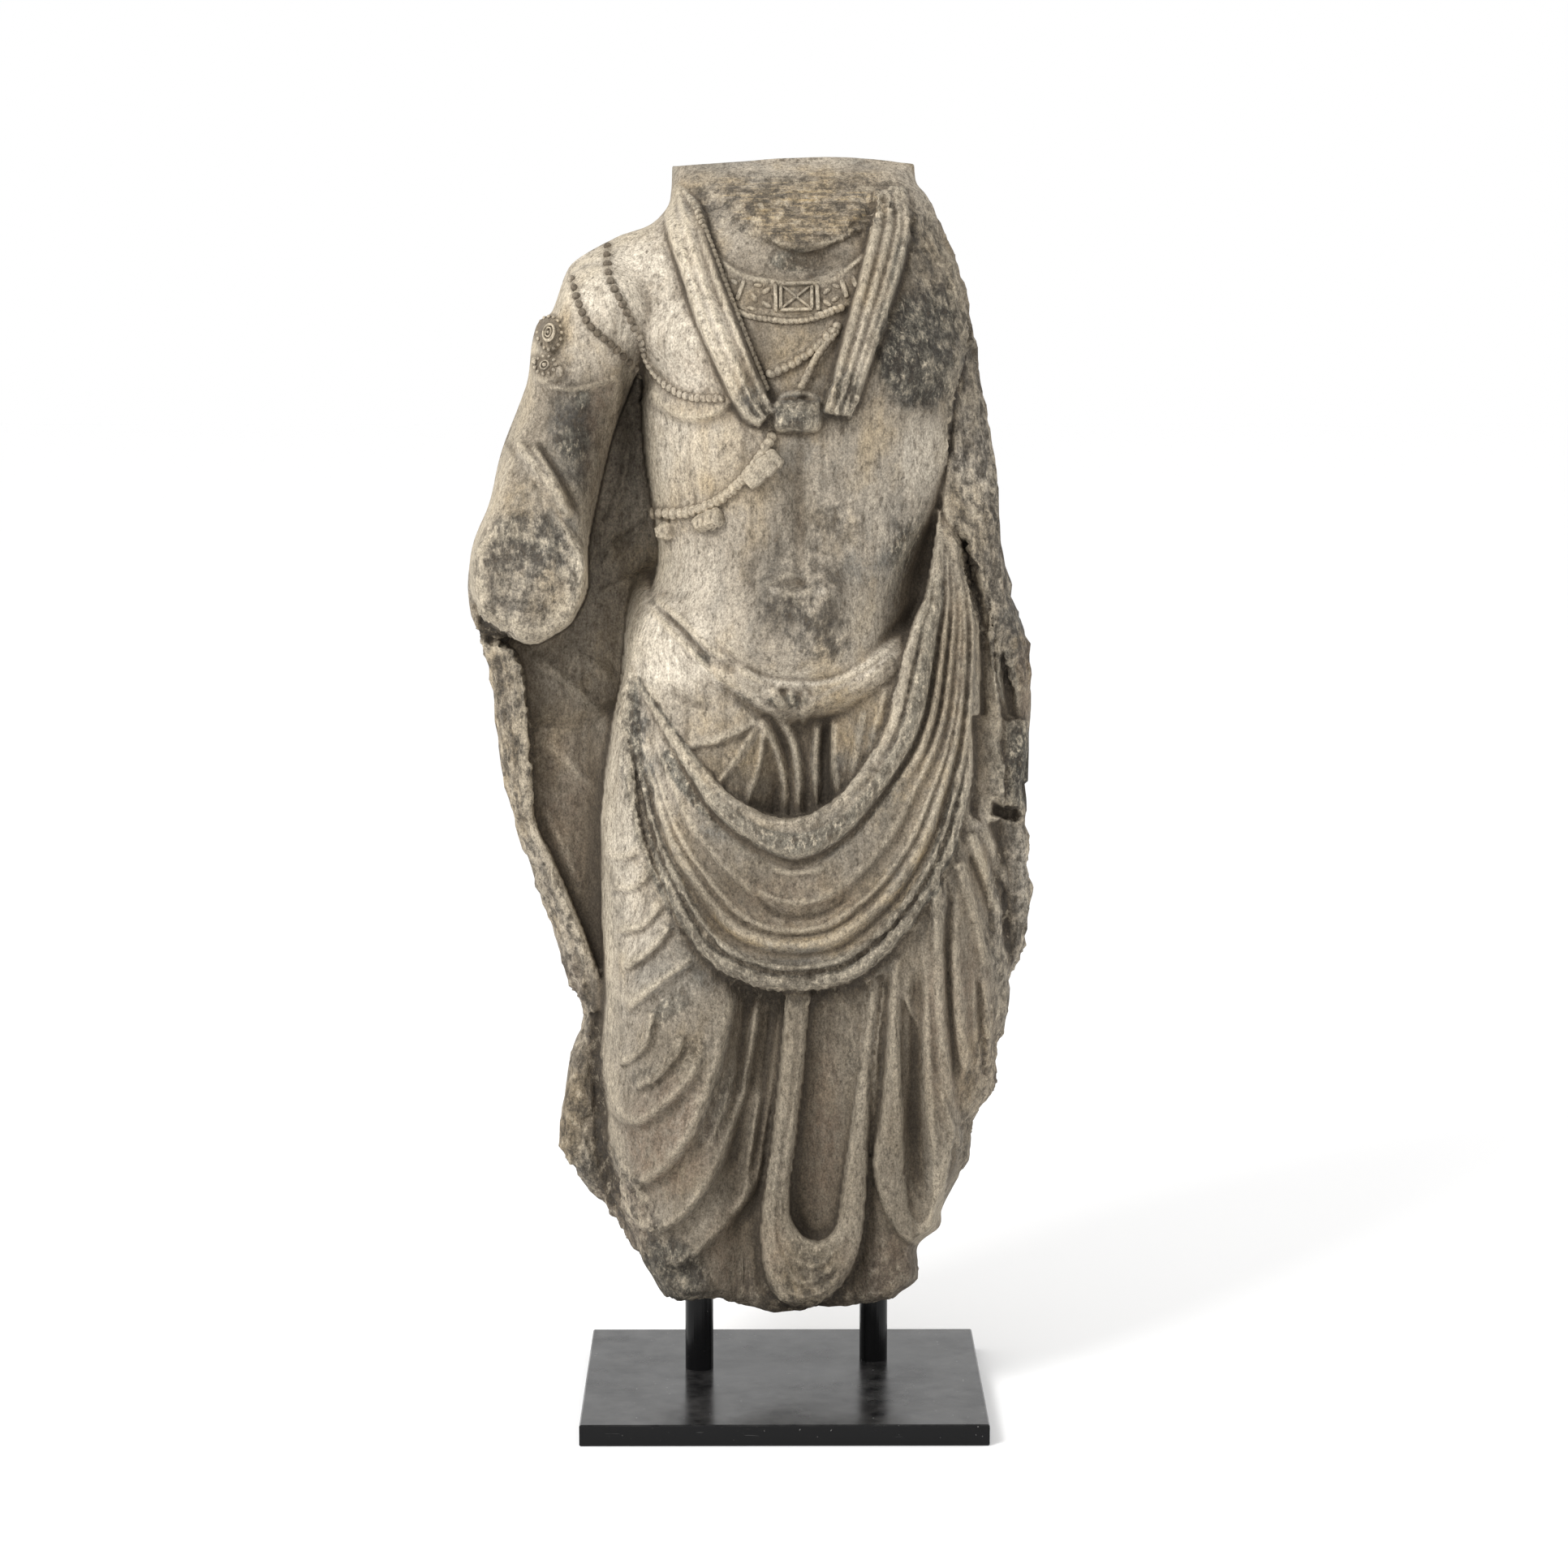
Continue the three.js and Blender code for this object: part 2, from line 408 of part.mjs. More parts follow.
// The carved front as a field of heights over the drawing
class Relief {
  constructor(spots) {
    this.spots = spots;
  }

  // Visits the spots within a margin of a line
  visit(line, margin, change) {
    const xs = line.map((point) => point[0]);
    const ys = line.map((point) => point[1]);
    const low = [Math.min(...xs) - margin, Math.min(...ys) - margin];
    const high = [Math.max(...xs) + margin, Math.max(...ys) + margin];
    for (const spot of this.spots) {
      if (spot.x > low[0] && spot.x < high[0] && spot.y > low[1] && spot.y < high[1]) {
        change(spot);
      }
    }
  }

  mound([x, y, wide, high, rise, turn, sharpness]) {
    this.visit([[x, y]], Math.max(wide, high), (spot) => {
      spot.h += moundHeight(spot, [x, y, wide, high, rise, turn, sharpness]);
    });
  }

  block([x, y, wide, high, rise, turn]) {
    this.visit([[x, y]], wide + high, (spot) => {
      const [across, up] = turned(spot, x, y, turn);
      const edge = 1 - Math.abs(across / wide) ** 6 - Math.abs(up / high) ** 4;
      spot.h += rise * Math.max(edge, 0) ** 0.4;
    });
  }

  rib([width, rise, fadeIn, fadeOut, path]) {
    const line = curve(path);
    this.visit(line, width, (spot) => {
      const { distance, share } = nearest(spot.x, spot.y, line);
      const ends = ramp(share, fadeIn) * ramp(1 - share, fadeOut);
      spot.h += rise * ends * Math.max(1 - (distance / width) ** 2, 0) ** 1.5;
    });
  }

  lap([steep, slow, rise, fadeIn, fadeOut, path]) {
    const line = curve(path);
    this.visit(line, slow, (spot) => {
      const { distance, share, side } = nearest(spot.x, spot.y, line);
      const ends = ramp(share, fadeIn) * ramp(1 - share, fadeOut);
      const foot = 1 - ease(0, steep, distance) - 0.2 * hump(distance, steep * 1.4, steep * 1.1);
      const run = side > 0 ? foot : clamp(1 - distance / slow) ** 1.3;
      spot.h += rise * ends * run;
    });
  }

  // Sets the height between two edges: across is 0 on the first edge and 1 on the second
  band(first, second, shape) {
    const a = curve(first);
    const b = curve(second);
    const loop = [...a, ...b.slice().reverse()];
    this.visit(loop, 1, (spot) => {
      if (isInside(spot.x, spot.y, loop)) {
        const fromA = nearest(spot.x, spot.y, a);
        const fromB = nearest(spot.x, spot.y, b);
        const across = fromA.distance / Math.max(fromA.distance + fromB.distance, 1e-6);
        const along = (fromA.share + fromB.share) / 2;
        spot.h = shape(spot, across, along, fromA.distance, fromB.distance);
      }
    });
  }
}

function ramp(share, fade) {
  return fade > 0 ? ease(0, fade, share) : 1;
}

function turned(spot, x, y, degrees) {
  const angle = THREE.MathUtils.degToRad(degrees);
  const dx = spot.x - x;
  const dy = spot.y - y;
  return [dx * Math.cos(angle) + dy * Math.sin(angle), dy * Math.cos(angle) - dx * Math.sin(angle)];
}

function moundHeight(spot, [x, y, wide, high, rise, turn, sharpness]) {
  const [across, up] = turned(spot, x, y, turn);
  return rise * Math.max(1 - (across / wide) ** 2 - (up / high) ** 2, 0) ** sharpness;
}

function foldHeights(folds, across) {
  return folds.reduce((sum, [centre, width, rise]) => sum + rise * hump(across, centre, width), 0);
}

// A section that is flat in front and turns down at its sides, 0 at the sides and 1 in front
function section(across, flatness, roundness) {
  return Math.max(1 - Math.abs(across) ** flatness, 0) ** (1 / roundness);
}

// The plain body under the carving
const nowhere = -200;
const bodyMiddle = 985;
const legsFrom = 690;
const hips = 800;
const torsoEnd = 1000;
const cloakFrom = 1138;
const smoothTorso = curve(torsoRows, 8);
const smoothLegs = legRows.map((rows) => curve(rows, 8));
const smoothCloak = curve(cloakRows, 8);
const armLine = curve(armRows, 8);

function torsoHeight(spot) {
  const columns = [1, 2, 3, 4, 5];
  const [left, right, front, atLeft, atRight] = columns.map((k) => lookup(smoothTorso, spot.y, k));
  const across = (2 * spot.x - left - right) / (right - left);
  const side = atLeft + (atRight - atLeft) * (across + 1) / 2;
  const height = side + (front - side) * section(across, 2.5, 1.7);
  return Math.abs(across) < 1 && spot.y < torsoEnd ? height : nowhere;
}

function legHeight(spot, rows) {
  const [middle, half, front] = [1, 2, 3].map((k) => lookup(rows, spot.y, k));
  const across = (spot.x - middle) / half;
  const side = -12 - 50 * (1 - ease(legsFrom, legsFrom + 100, spot.y));
  const height = side + (front - side) * section(across, 2.2, 2);
  return Math.abs(across) < 1 && spot.y > legsFrom ? height : nowhere;
}

function bodyHeight(spot) {
  let body = softMax(torsoHeight(spot), -60 + moundHeight(spot, shoulder), 6);
  for (const rows of smoothLegs) {
    body = softMax(body, legHeight(spot, rows), 5);
  }
  const between = 26 - 60 * clamp(Math.abs(spot.x - bodyMiddle) / 260) ** 4;
  body = softMax(body, between - 90 * (1 - ease(hips - 10, hips + 100, spot.y)), 4);
  if (spot.x > cloakFrom) {
    body = softMax(body, lookup(rightCloakRows, spot.y), 4);
  }
  return softMax(body, lookup(smoothCloak, spot.y), 3);
}

// How far inside a broken face: 1 in its middle, 0 on its uneven edge
function withinBreak(spot, place) {
  const across = (spot.x - place.x) / place.wide;
  const up = (spot.y - place.y) / place.high;
  const angle = Math.atan2(up, across);
  const uneven = 1 + 0.07 * Math.sin(3 * angle + 1) + 0.05 * Math.sin(7 * angle);
  return 1 - (across ** 2 + up ** 2) * uneven;
}

// The neck is broken off in a slope that rises to the back, and its stump stands proud of the chest
function breakNeck(h, spot) {
  const start = -64 + Math.max(spot.y - 196, 0) * neckBreak.slope;
  const within = withinBreak(spot, neckBreak);
  const broken = Math.min(h, start);
  if (within <= 0) {
    return broken;
  }
  const share = clamp((spot.y - 200) / neckBreak.high) ** 0.9;
  const stump = -62 + (62 + neckBreak.lip) * share - neckBreak.edge * (1 - clamp(within * 6));
  return softMax(broken, Math.min(stump, start), 2);
}

function armHeight(h, spot) {
  const { distance, share } = nearest(spot.x, spot.y, armLine);
  const place = share * (armLine.length - 1);
  const step = Math.min(Math.floor(place), armLine.length - 2);
  const [radius, axis] = [2, 3].map((k) => {
    return THREE.MathUtils.lerp(armLine[step][k], armLine[step + 1][k], place - step);
  });
  if (distance >= radius) {
    return h;
  }
  return softMax(h, axis + unit * Math.sqrt(radius ** 2 - distance ** 2), 3);
}

function elbowBreak(h, spot) {
  const within = withinBreak(spot, armBreak);
  if (within <= 0) {
    return h;
  }
  const face = armBreak.h + (spot.y - armBreak.y) * 0.03 + (spot.x - armBreak.x) * 0.04;
  return Math.min(Math.max(h, face - armBreak.roll * (1 - clamp(within * 6)) ** 2), face + 1.5);
}

function carveSwag(relief) {
  relief.band(swag.inner, swag.outer, (spot, share, along, fromInner, fromOuter) => {
    // The roll takes up more of the width where the folds gather beside the belly
    const beside = ease(1000, 860, spot.y) * ease(960, 1040, spot.x);
    const spread = THREE.MathUtils.lerp(swag.roll.end, swag.roll.endByBelly, beside);
    const across = share < spread
      ? share * swag.roll.end / spread
      : swag.roll.end + (share - spread) * (1 - swag.roll.end) / (1 - spread);
    const belly = 14 * clamp(1 - ((spot.x - bodyMiddle) / 190) ** 2) * ease(880, 1050, spot.y);
    const atHip = -26 * ease(860, 770, spot.x) ** 1.5;
    const atSide = -10 * ease(1130, 1215, spot.x);
    const level = lookup(swag.level, spot.y) + belly + atHip + atSide;
    const size = Math.min(Math.max((fromInner + fromOuter) / 90, 0.35), 1);
    const fromRoll = (across - swag.roll.at) / swag.roll.width;
    const roll = swag.roll.height * Math.sqrt(clamp(1 - fromRoll ** 2));
    const flat = 0.35 + 0.65 * ease(...swag.flatEnd, spot.x + (spot.y - 900) * 0.25);
    const folds = flat * (foldHeights(swag.folds, across) + beside * foldHeights(swag.sideFolds, across));
    const outerEdge = (-2.5 - 5.5 * ease(790, 850, spot.x)) * clamp(1 - fromOuter / 9) ** 2;
    const innerEdge = -5 * clamp(1 - fromInner / 6) ** 2;
    const made = level + (roll + folds) * size + outerEdge + innerEdge;
    return spot.h + (made - spot.h) * ease(598, 680, spot.y);
  });
}

function carveStrands(relief) {
  for (const strand of strands) {
    relief.band(strand.outer, strand.inner, (spot, across, along, fromOuter, fromInner) => {
      const rise = strand.rise - 4 * (1 - ease(0, 0.3, along));
      const sides = clamp(fromOuter / 4) * clamp(fromInner / 4);
      return spot.h + rise * sides + foldHeights(strand.folds, across);
    });
  }
  relief.band(torque.outer, torque.inner, (spot, across, along, fromOuter, fromInner) => {
    const sides = clamp(fromOuter / 3) * clamp(fromInner / 3);
    return spot.h + 4 * sides + 3 * hump(across, 0.96, 0.1) + 1.5 * hump(across, 0.04, 0.08);
  });
}

function carveCloakLeft(relief) {
  relief.band(cloakLeft.outer, cloakLeft.inner, (spot, across) => {
    const edge = 5 * hump(across, 0.85, 0.3) - 14 * clamp(1 - across / 0.6) ** 2;
    return Math.max(spot.h, lookup(cloakLeft.level, spot.y) + edge);
  });
}

function carveCloakRight(relief) {
  relief.band(cloakRight.inner, cloakRight.outer, (spot, across) => {
    return lookup(cloakRight.level, spot.y) - 30 * across ** 1.8 - 5 * clamp(1 - across / 0.1);
  });
}

function carveSide(relief, name) {
  const piece = sidePieces[name];
  relief.band(piece.first, piece.second, (spot, across, along) => {
    const level = lookup(piece.level, spot.y) - piece.fall * across;
    const share = ease(0, piece.soft, across) * ramp(1 - along, piece.fade);
    return spot.h + share * (level - spot.h);
  });
}

function carvePleats(relief) {
  for (const pleat of pleats) {
    relief.band(pleat.outer, pleat.inner, (spot, across) => {
      const level = lookup(pleat.level, spot.y);
      return level + pleat.roll * Math.sqrt(clamp(1 - (2 * across - 1) ** 2));
    });
    const edge = curve(pleat.inner);
    relief.visit(edge, 0, (spot) => {
      if (isInside(spot.x, spot.y, edge)) {
        const { distance } = nearest(spot.x, spot.y, edge);
        const leaning = pleat.lean * (spot.x - pleat.middle);
        spot.h = lookup(pleat.hollow, spot.y) + 3 * Math.exp(-distance / 5) + leaning;
      }
    });
  }
}

function carve(spots) {
  const relief = new Relief(spots);
  for (const spot of spots) {
    spot.h = bodyHeight(spot);
  }
  mounds.forEach((mound) => relief.mound(mound));
  for (const spot of spots) {
    spot.h = breakNeck(spot.h, spot);
  }
  carveCloakLeft(relief);
  for (const spot of spots) {
    spot.h = elbowBreak(armHeight(spot.h, spot), spot);
  }
  carveCloakRight(relief);
  carveSide(relief, 'gap by the belly');
  carveSwag(relief);
  ['upper hollow', 'lower hole', 'sheet', 'stump', 'under the stump'].forEach((name) => {
    carveSide(relief, name);
  });
  laps.forEach((lap) => relief.lap(lap));
  carvePleats(relief);
  carveStrands(relief);
  details.forEach((mound) => relief.mound(mound));
  ribs.forEach((rib) => relief.rib(rib));
  blocks.forEach((block) => relief.block(block));
}

// From the drawing to the stone: along the line of sight to the given height
function sightPoint(x, y, h) {
  const tilt = THREE.MathUtils.degToRad(drawing.tilt);
  const turn = THREE.MathUtils.degToRad(drawing.turn);
  const across = x - drawing.middle;
  const down = y - drawing.middle;
  const ahead = drawing.distance * Math.cos(tilt) - down * Math.sin(tilt);
  const rise = -(down * Math.cos(tilt) + drawing.distance * Math.sin(tilt));
  const right = across * Math.cos(turn) + ahead * Math.sin(turn);
  const forward = ahead * Math.cos(turn) - across * Math.sin(turn);
  const reach = (-h - eye.y) / forward;
  return [eye.x + right * reach, -h, eye.z + rise * reach];
}

const drawnTop = sightPoint(highest.x, highest.y, highest.h)[2];
const drawnFoot = sightPoint(lowest.x, lowest.y, lowest.h)[2];
const figureScale = stoneHeight / (drawnTop - drawnFoot);
const stoneFoot = plateThickness + rodShown;

function onStone([x, y, z]) {
  return [x * figureScale, y * figureScale, stoneFoot + (z - drawnFoot) * figureScale];
}

// The stone is a closed sheet of rings, one for each drawn row: the front, the right side, the back
// and the left side
function stoneSpots() {
  const left = curve(outline.left.map(([x, y]) => [y, x]));
  const right = curve(outline.right.map(([x, y]) => [y, x]));
  const top = curve(outline.top);
  const bottom = curve(outline.bottom);
  const rows = [];
  for (let i = 0; i <= drawnRows; i += 1) {
    const drawnY = firstRow + (lastRow - firstRow) * i / drawnRows;
    const from = lookup(left, drawnY);
    const to = lookup(right, drawnY);
    const row = [];
    for (let j = 0; j <= drawnColumns; j += 1) {
      const x = from + (to - from) * j / drawnColumns;
      const atTop = (lookup(top, x) - firstRow) * (1 - ease(firstRow, firstRow + 60, drawnY));
      const atBottom = (lookup(bottom, x) - lastRow) * ease(lastRow - 80, lastRow, drawnY);
      row.push({ x, y: drawnY + atTop + atBottom, fromSide: Math.min(x - from, to - x), h: 0 });
    }
    rows.push(row);
  }
  return rows;
}

// Wear takes the sharpness off every edge: each height moves to the mean of itself and its neighbours
function wear(rows) {
  for (let pass = 0; pass < wornPasses; pass += 1) {
    const before = rows.map((row) => row.map((spot) => spot.h));
    for (let i = 1; i < rows.length - 1; i += 1) {
      for (let j = 1; j < drawnColumns; j += 1) {
        const beside = before[i][j - 1] + before[i][j + 1] + before[i - 1][j] + before[i + 1][j];
        rows[i][j].h = before[i][j] / 2 + beside / 8;
      }
    }
  }
}

function stoneRings() {
  const rows = stoneSpots();
  carve(rows.flat());
  wear(rows);
  return rows.map((row) => {
    const ends = [row[0], row[drawnColumns]];
    const rims = ends.map((spot, side) => lookup(rim, spot.y, side + 1));
    const front = row.map((spot) => {
      const share = (spot.x - ends[0].x) / (ends[1].x - ends[0].x);
      const rimHeight = rims[Math.round(share)];
      const turn = Math.sqrt(1 - (1 - clamp(spot.fromSide / rimRound)) ** 2);
      const hem = 8 * clamp(1 - (lookup(outline.bottom, spot.x) - spot.y) / hemRound) ** 2;
      const carved = Math.max(spot.h, rimHeight - (spot.fromSide / rimKeep) ** 2);
      return sightPoint(spot.x, spot.y, rimHeight + (carved - rimHeight) * turn - hem);
    });
    const [sideLeft, sideRight] = [front[0], front[drawnColumns]];
    const behind = row.map((spot, j) => {
      const share = j / drawnColumns;
      const x = sideLeft[0] + back.inset + share * (sideRight[0] - sideLeft[0] - 2 * back.inset);
      const near = Math.min(x - sideLeft[0], sideRight[0] - x) - back.inset;
      const y = -back.h - back.round * clamp(1 - near / back.run) ** 2;
      return [x, y, sideLeft[2] + share * (sideRight[2] - sideLeft[2])];
    });
    const middles = [sideRight, sideLeft].map(([x, y, z]) => {
      return [x, y + 0.75 * (-back.h - back.round - y), z];
    });
    return [...front, middles[0], ...behind.reverse(), middles[1]].map(onStone);
  });
}

function stoneMesh() {
  const rings = stoneRings();
  const around = rings[0].length;
  const points = rings.flat();
  const faces = [];
  const quad = (a, b, c, d) => faces.push([a, b, c], [a, c, d]);
  for (let i = 0; i < rings.length - 1; i += 1) {
    for (let j = 0; j < around; j += 1) {
      const next = (j + 1) % around;
      quad(i * around + j, (i + 1) * around + j, (i + 1) * around + next, i * around + next);
    }
  }
  // The caps join the front of a ring to its back, column by column
  const capRow = (start, flip) => {
    const frontAt = (j) => start + j;
    const backAt = (j) => start + 2 * drawnColumns + 2 - j;
    const put = (a, b, c) => faces.push(flip ? [a, c, b] : [a, b, c]);
    for (let j = 0; j < drawnColumns; j += 1) {
      put(frontAt(j), frontAt(j + 1), backAt(j + 1));
      put(frontAt(j), backAt(j + 1), backAt(j));
    }
    put(frontAt(drawnColumns), start + drawnColumns + 1, backAt(drawnColumns));
    put(frontAt(0), backAt(0), start + around - 1);
  };
  capRow(0, false);
  capRow((rings.length - 1) * around, true);
  return { points, faces };
}

// Thins a closed mesh by joining the ends of the edges whose loss changes the surface least
function thin({ points, faces }, wanted) {
  const position = points.map((point) => point.slice());
  const quadric = position.map(() => new Float64Array(10));
  const facesAt = position.map(() => new Set());
  const version = new Int32Array(position.length);
  const face = faces.map((corners) => corners.slice());
  let count = face.length;

  const normalOf = ([a, b, c]) => {
    const u = [b[0] - a[0], b[1] - a[1], b[2] - a[2]];
    const v = [c[0] - a[0], c[1] - a[1], c[2] - a[2]];
    return [u[1] * v[2] - u[2] * v[1], u[2] * v[0] - u[0] * v[2], u[0] * v[1] - u[1] * v[0]];
  };
  const dot = (a, b) => a[0] * b[0] + a[1] * b[1] + a[2] * b[2];
  const gap = (a, b) => (a[0] - b[0]) ** 2 + (a[1] - b[1]) ** 2 + (a[2] - b[2]) ** 2;

  face.forEach((corners, index) => {
    const places = corners.map((corner) => position[corner]);
    const normal = normalOf(places);
    const size = Math.hypot(...normal);
    const [a, b, c] = normal.map((value) => value / Math.max(size, 1e-12));
    const d = -dot([a, b, c], places[0]);
    const plane = [a * a, a * b, a * c, a * d, b * b, b * c, b * d, c * c, c * d, d * d];
    for (const corner of corners) {
      facesAt[corner].add(index);
      plane.forEach((value, k) => {
        quadric[corner][k] += value * size;
      });
    }
  });

  const misfit = (q, [x, y, z]) => q[0] * x * x + 2 * q[1] * x * y + 2 * q[2] * x * z + 2 * q[3] * x
    + q[4] * y * y + 2 * q[5] * y * z + 2 * q[6] * y + q[7] * z * z + 2 * q[8] * z + q[9];

  const heap = [];
  const sift = (entry) => {
    let at = heap.length;
    heap.push(entry);
    while (at > 0) {
      const above = (at - 1) >> 1;
      if (heap[above].cost <= entry.cost) {
        break;
      }
      heap[at] = heap[above];
      at = above;
    }
    heap[at] = entry;
  };
  const takeLeast = () => {
    const least = heap[0];
    const entry = heap.pop();
    if (heap.length > 0) {
      let at = 0;
      for (;;) {
        let below = 2 * at + 1;
        if (below >= heap.length) {
          break;
        }
        if (below + 1 < heap.length && heap[below + 1].cost < heap[below].cost) {
          below += 1;
        }
        if (heap[below].cost >= entry.cost) {
          break;
        }
        heap[at] = heap[below];
        at = below;
      }
      heap[at] = entry;
    }
    return least;
  };

  const propose = (a, b) => {
    const sum = quadric[a].map((value, k) => value + quadric[b][k]);
    const middle = position[a].map((value, k) => (value + position[b][k]) / 2);
    let choice = null;
    for (const place of [position[a], position[b], middle]) {
      const cost = misfit(sum, place) + edgeCost * gap(place, middle);
      if (!choice || cost < choice.cost) {
        choice = { cost, place };
      }
    }
    const cost = choice.cost + edgeCost * gap(position[a], position[b]);
    sift({ cost, place: choice.place, a, b, seenA: version[a], seenB: version[b] });
  };

  const neighbours = (a) => {
    const found = new Set();
    for (const index of facesAt[a]) {
      face[index].forEach((corner) => found.add(corner));
    }
    found.delete(a);
    return found;
  };

  // A join is allowed where it keeps the mesh closed and turns no face over
  const allowed = (a, b, place) => {
    const around = neighbours(b);
    const shared = [...neighbours(a)].filter((corner) => around.has(corner));
    if (shared.length !== 2) {
      return false;
    }
    for (const [moved, other] of [[a, b], [b, a]]) {
      for (const index of facesAt[moved]) {
        if (!face[index].includes(other)) {
          const before = normalOf(face[index].map((corner) => position[corner]));
          const shifted = face[index].map((corner) => (corner === moved ? place : position[corner]));
          const after = normalOf(shifted);
          const sizes = Math.hypot(...before) * Math.hypot(...after);
          if (dot(before, after) < leastTurn * sizes || Math.hypot(...after) < leastFace) {
            return false;
          }
        }
      }
    }
    return true;
  };

  for (const corners of face) {
    corners.forEach((a, k) => {
      const b = corners[(k + 1) % 3];
      if (a < b) {
        propose(a, b);
      }
    });
  }
  while (count > wanted && heap.length > 0) {
    const { place, a, b, seenA, seenB } = takeLeast();
    if (version[a] !== seenA || version[b] !== seenB || !allowed(a, b, place)) {
      continue;
    }
    for (const index of [...facesAt[b]]) {
      if (face[index].includes(a)) {
        face[index].forEach((corner) => facesAt[corner].delete(index));
        face[index] = null;
        count -= 1;
      } else {
        face[index] = face[index].map((corner) => (corner === b ? a : corner));
        facesAt[a].add(index);
      }
    }
    facesAt[b].clear();
    version[b] = -1;
    version[a] += 1;
    position[a] = place.slice();
    quadric[b].forEach((value, k) => {
      quadric[a][k] += value;
    });
    for (const corner of neighbours(a)) {
      propose(a, corner);
    }
  }
  return { points: position, faces: face.filter((corners) => corners !== null) };
}

// Solids
function solidOf(geometry) {
  const bare = geometry.clone();
  bare.deleteAttribute('normal');
  bare.deleteAttribute('uv');
  const merged = mergeVertices(bare, 1e-4);
  const mesh = new wasm.Mesh({
    numProp: 3,
    vertProperties: new Float32Array(merged.attributes.position.array),
    triVerts: new Uint32Array(merged.index.array),
  });
  return new wasm.Manifold(mesh);
}

function geometryOf(solid) {
  const { vertProperties, triVerts } = solid.getMesh();
  const geometry = new THREE.BufferGeometry();
  geometry.setAttribute('position', new THREE.BufferAttribute(new Float32Array(vertProperties), 3));
  geometry.setIndex(new THREE.BufferAttribute(new Uint32Array(triVerts), 1));
  geometry.computeVertexNormals();
  return geometry;
}

// An upright cylinder, from its foot up
function upright(diameter, height, { x, y }, foot) {
  const geometry = new THREE.CylinderGeometry(diameter / 2, diameter / 2, height, rodSides);
  geometry.rotateX(Math.PI / 2);
  geometry.translate(x, y, foot + height / 2);
  return geometry;
}

function makeTorso() {
  const { points, faces } = thin(stoneMesh(), stoneTriangles);
  const geometry = new THREE.BufferGeometry();
  geometry.setAttribute('position', new THREE.Float32BufferAttribute(points.flat(), 3));
  geometry.setIndex(faces.flat());
  let stone = solidOf(geometry);
  for (const place of Object.values(rods)) {
    const length = rodShown + rodSeat + seatClearance;
    const socket = upright(rodDiameter + 2 * seatClearance, length, place, plateThickness);
    stone = stone.subtract(solidOf(socket));
  }
  return geometryOf(stone);
}

// The plate has a small chamfer round its top edge
function makePlate() {
  const half = [plateWidth / 2, plateDepth / 2];
  const shape = new THREE.Shape();
  shape.moveTo(plateChamfer - half[0], plateChamfer - half[1]);
  shape.lineTo(half[0] - plateChamfer, plateChamfer - half[1]);
  shape.lineTo(half[0] - plateChamfer, half[1] - plateChamfer);
  shape.lineTo(plateChamfer - half[0], half[1] - plateChamfer);
  const geometry = new THREE.ExtrudeGeometry(shape, {
    depth: plateThickness - 2 * plateChamfer,
    bevelThickness: plateChamfer,
    bevelSize: plateChamfer,
    bevelSegments: 1,
  });
  geometry.translate(0, 0, plateChamfer);
  return geometry;
}

const schist = new THREE.MeshStandardMaterial({ color: 0x9c968a, roughness: 0.85, metalness: 0 });
const blackSteel = new THREE.MeshStandardMaterial({ color: 0x1b1b1c, roughness: 0.45, metalness: 0.3 });

const group = new THREE.Group();

function add(name, geometry, material) {
  const mesh = new THREE.Mesh(geometry, material);
  mesh.name = name;
  group.add(mesh);
}

add('stone_torso', makeTorso(), schist);
add('base_plate', makePlate(), blackSteel);
for (const [name, place] of Object.entries(rods)) {
  const rod = upright(rodDiameter, rodShown + rodSeat, place, plateThickness);
  add(name.replace(' ', '_'), rod, blackSteel);
}

export default group;
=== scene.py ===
# Schist bodhisattva torso on its two-rod stand. Metres in Blender, the carving is worked out in
# millimetres over a drawing of the front and then set on the stone.
import math

import bpy
import numpy as np
from mathutils import Matrix, Vector


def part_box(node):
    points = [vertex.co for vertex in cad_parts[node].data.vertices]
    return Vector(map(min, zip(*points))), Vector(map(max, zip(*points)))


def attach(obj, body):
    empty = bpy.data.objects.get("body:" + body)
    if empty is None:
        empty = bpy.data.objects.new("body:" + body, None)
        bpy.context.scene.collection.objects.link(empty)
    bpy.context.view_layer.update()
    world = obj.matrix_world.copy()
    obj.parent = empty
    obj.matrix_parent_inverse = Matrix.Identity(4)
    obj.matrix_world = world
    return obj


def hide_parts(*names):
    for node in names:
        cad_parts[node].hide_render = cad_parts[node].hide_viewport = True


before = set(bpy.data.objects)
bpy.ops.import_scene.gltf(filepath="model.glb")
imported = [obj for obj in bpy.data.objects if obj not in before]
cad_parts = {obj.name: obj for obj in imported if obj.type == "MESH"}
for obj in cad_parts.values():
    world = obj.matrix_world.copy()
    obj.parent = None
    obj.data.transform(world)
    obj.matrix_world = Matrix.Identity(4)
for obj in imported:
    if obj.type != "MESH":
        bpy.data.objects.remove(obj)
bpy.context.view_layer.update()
print("frame loaded")

mm = 0.001

# The eye that the front is drawn from, as in the part: x right and y down in drawing units
drawing = {
    "eye": (-17.0, -3018.0, 828.0), "middle": 966.0, "distance": 5367.0, "tilt": 7.35, "turn": 0.33,
    "highest": (968, 194, -62), "lowest": (956, 1617, 35),
    "left": 560, "top": 184, "right": 1290, "bottom": 1632, "step": 2.0, "unit": 0.565,
}


def clamp(value):
    return np.clip(value, 0.0, 1.0)


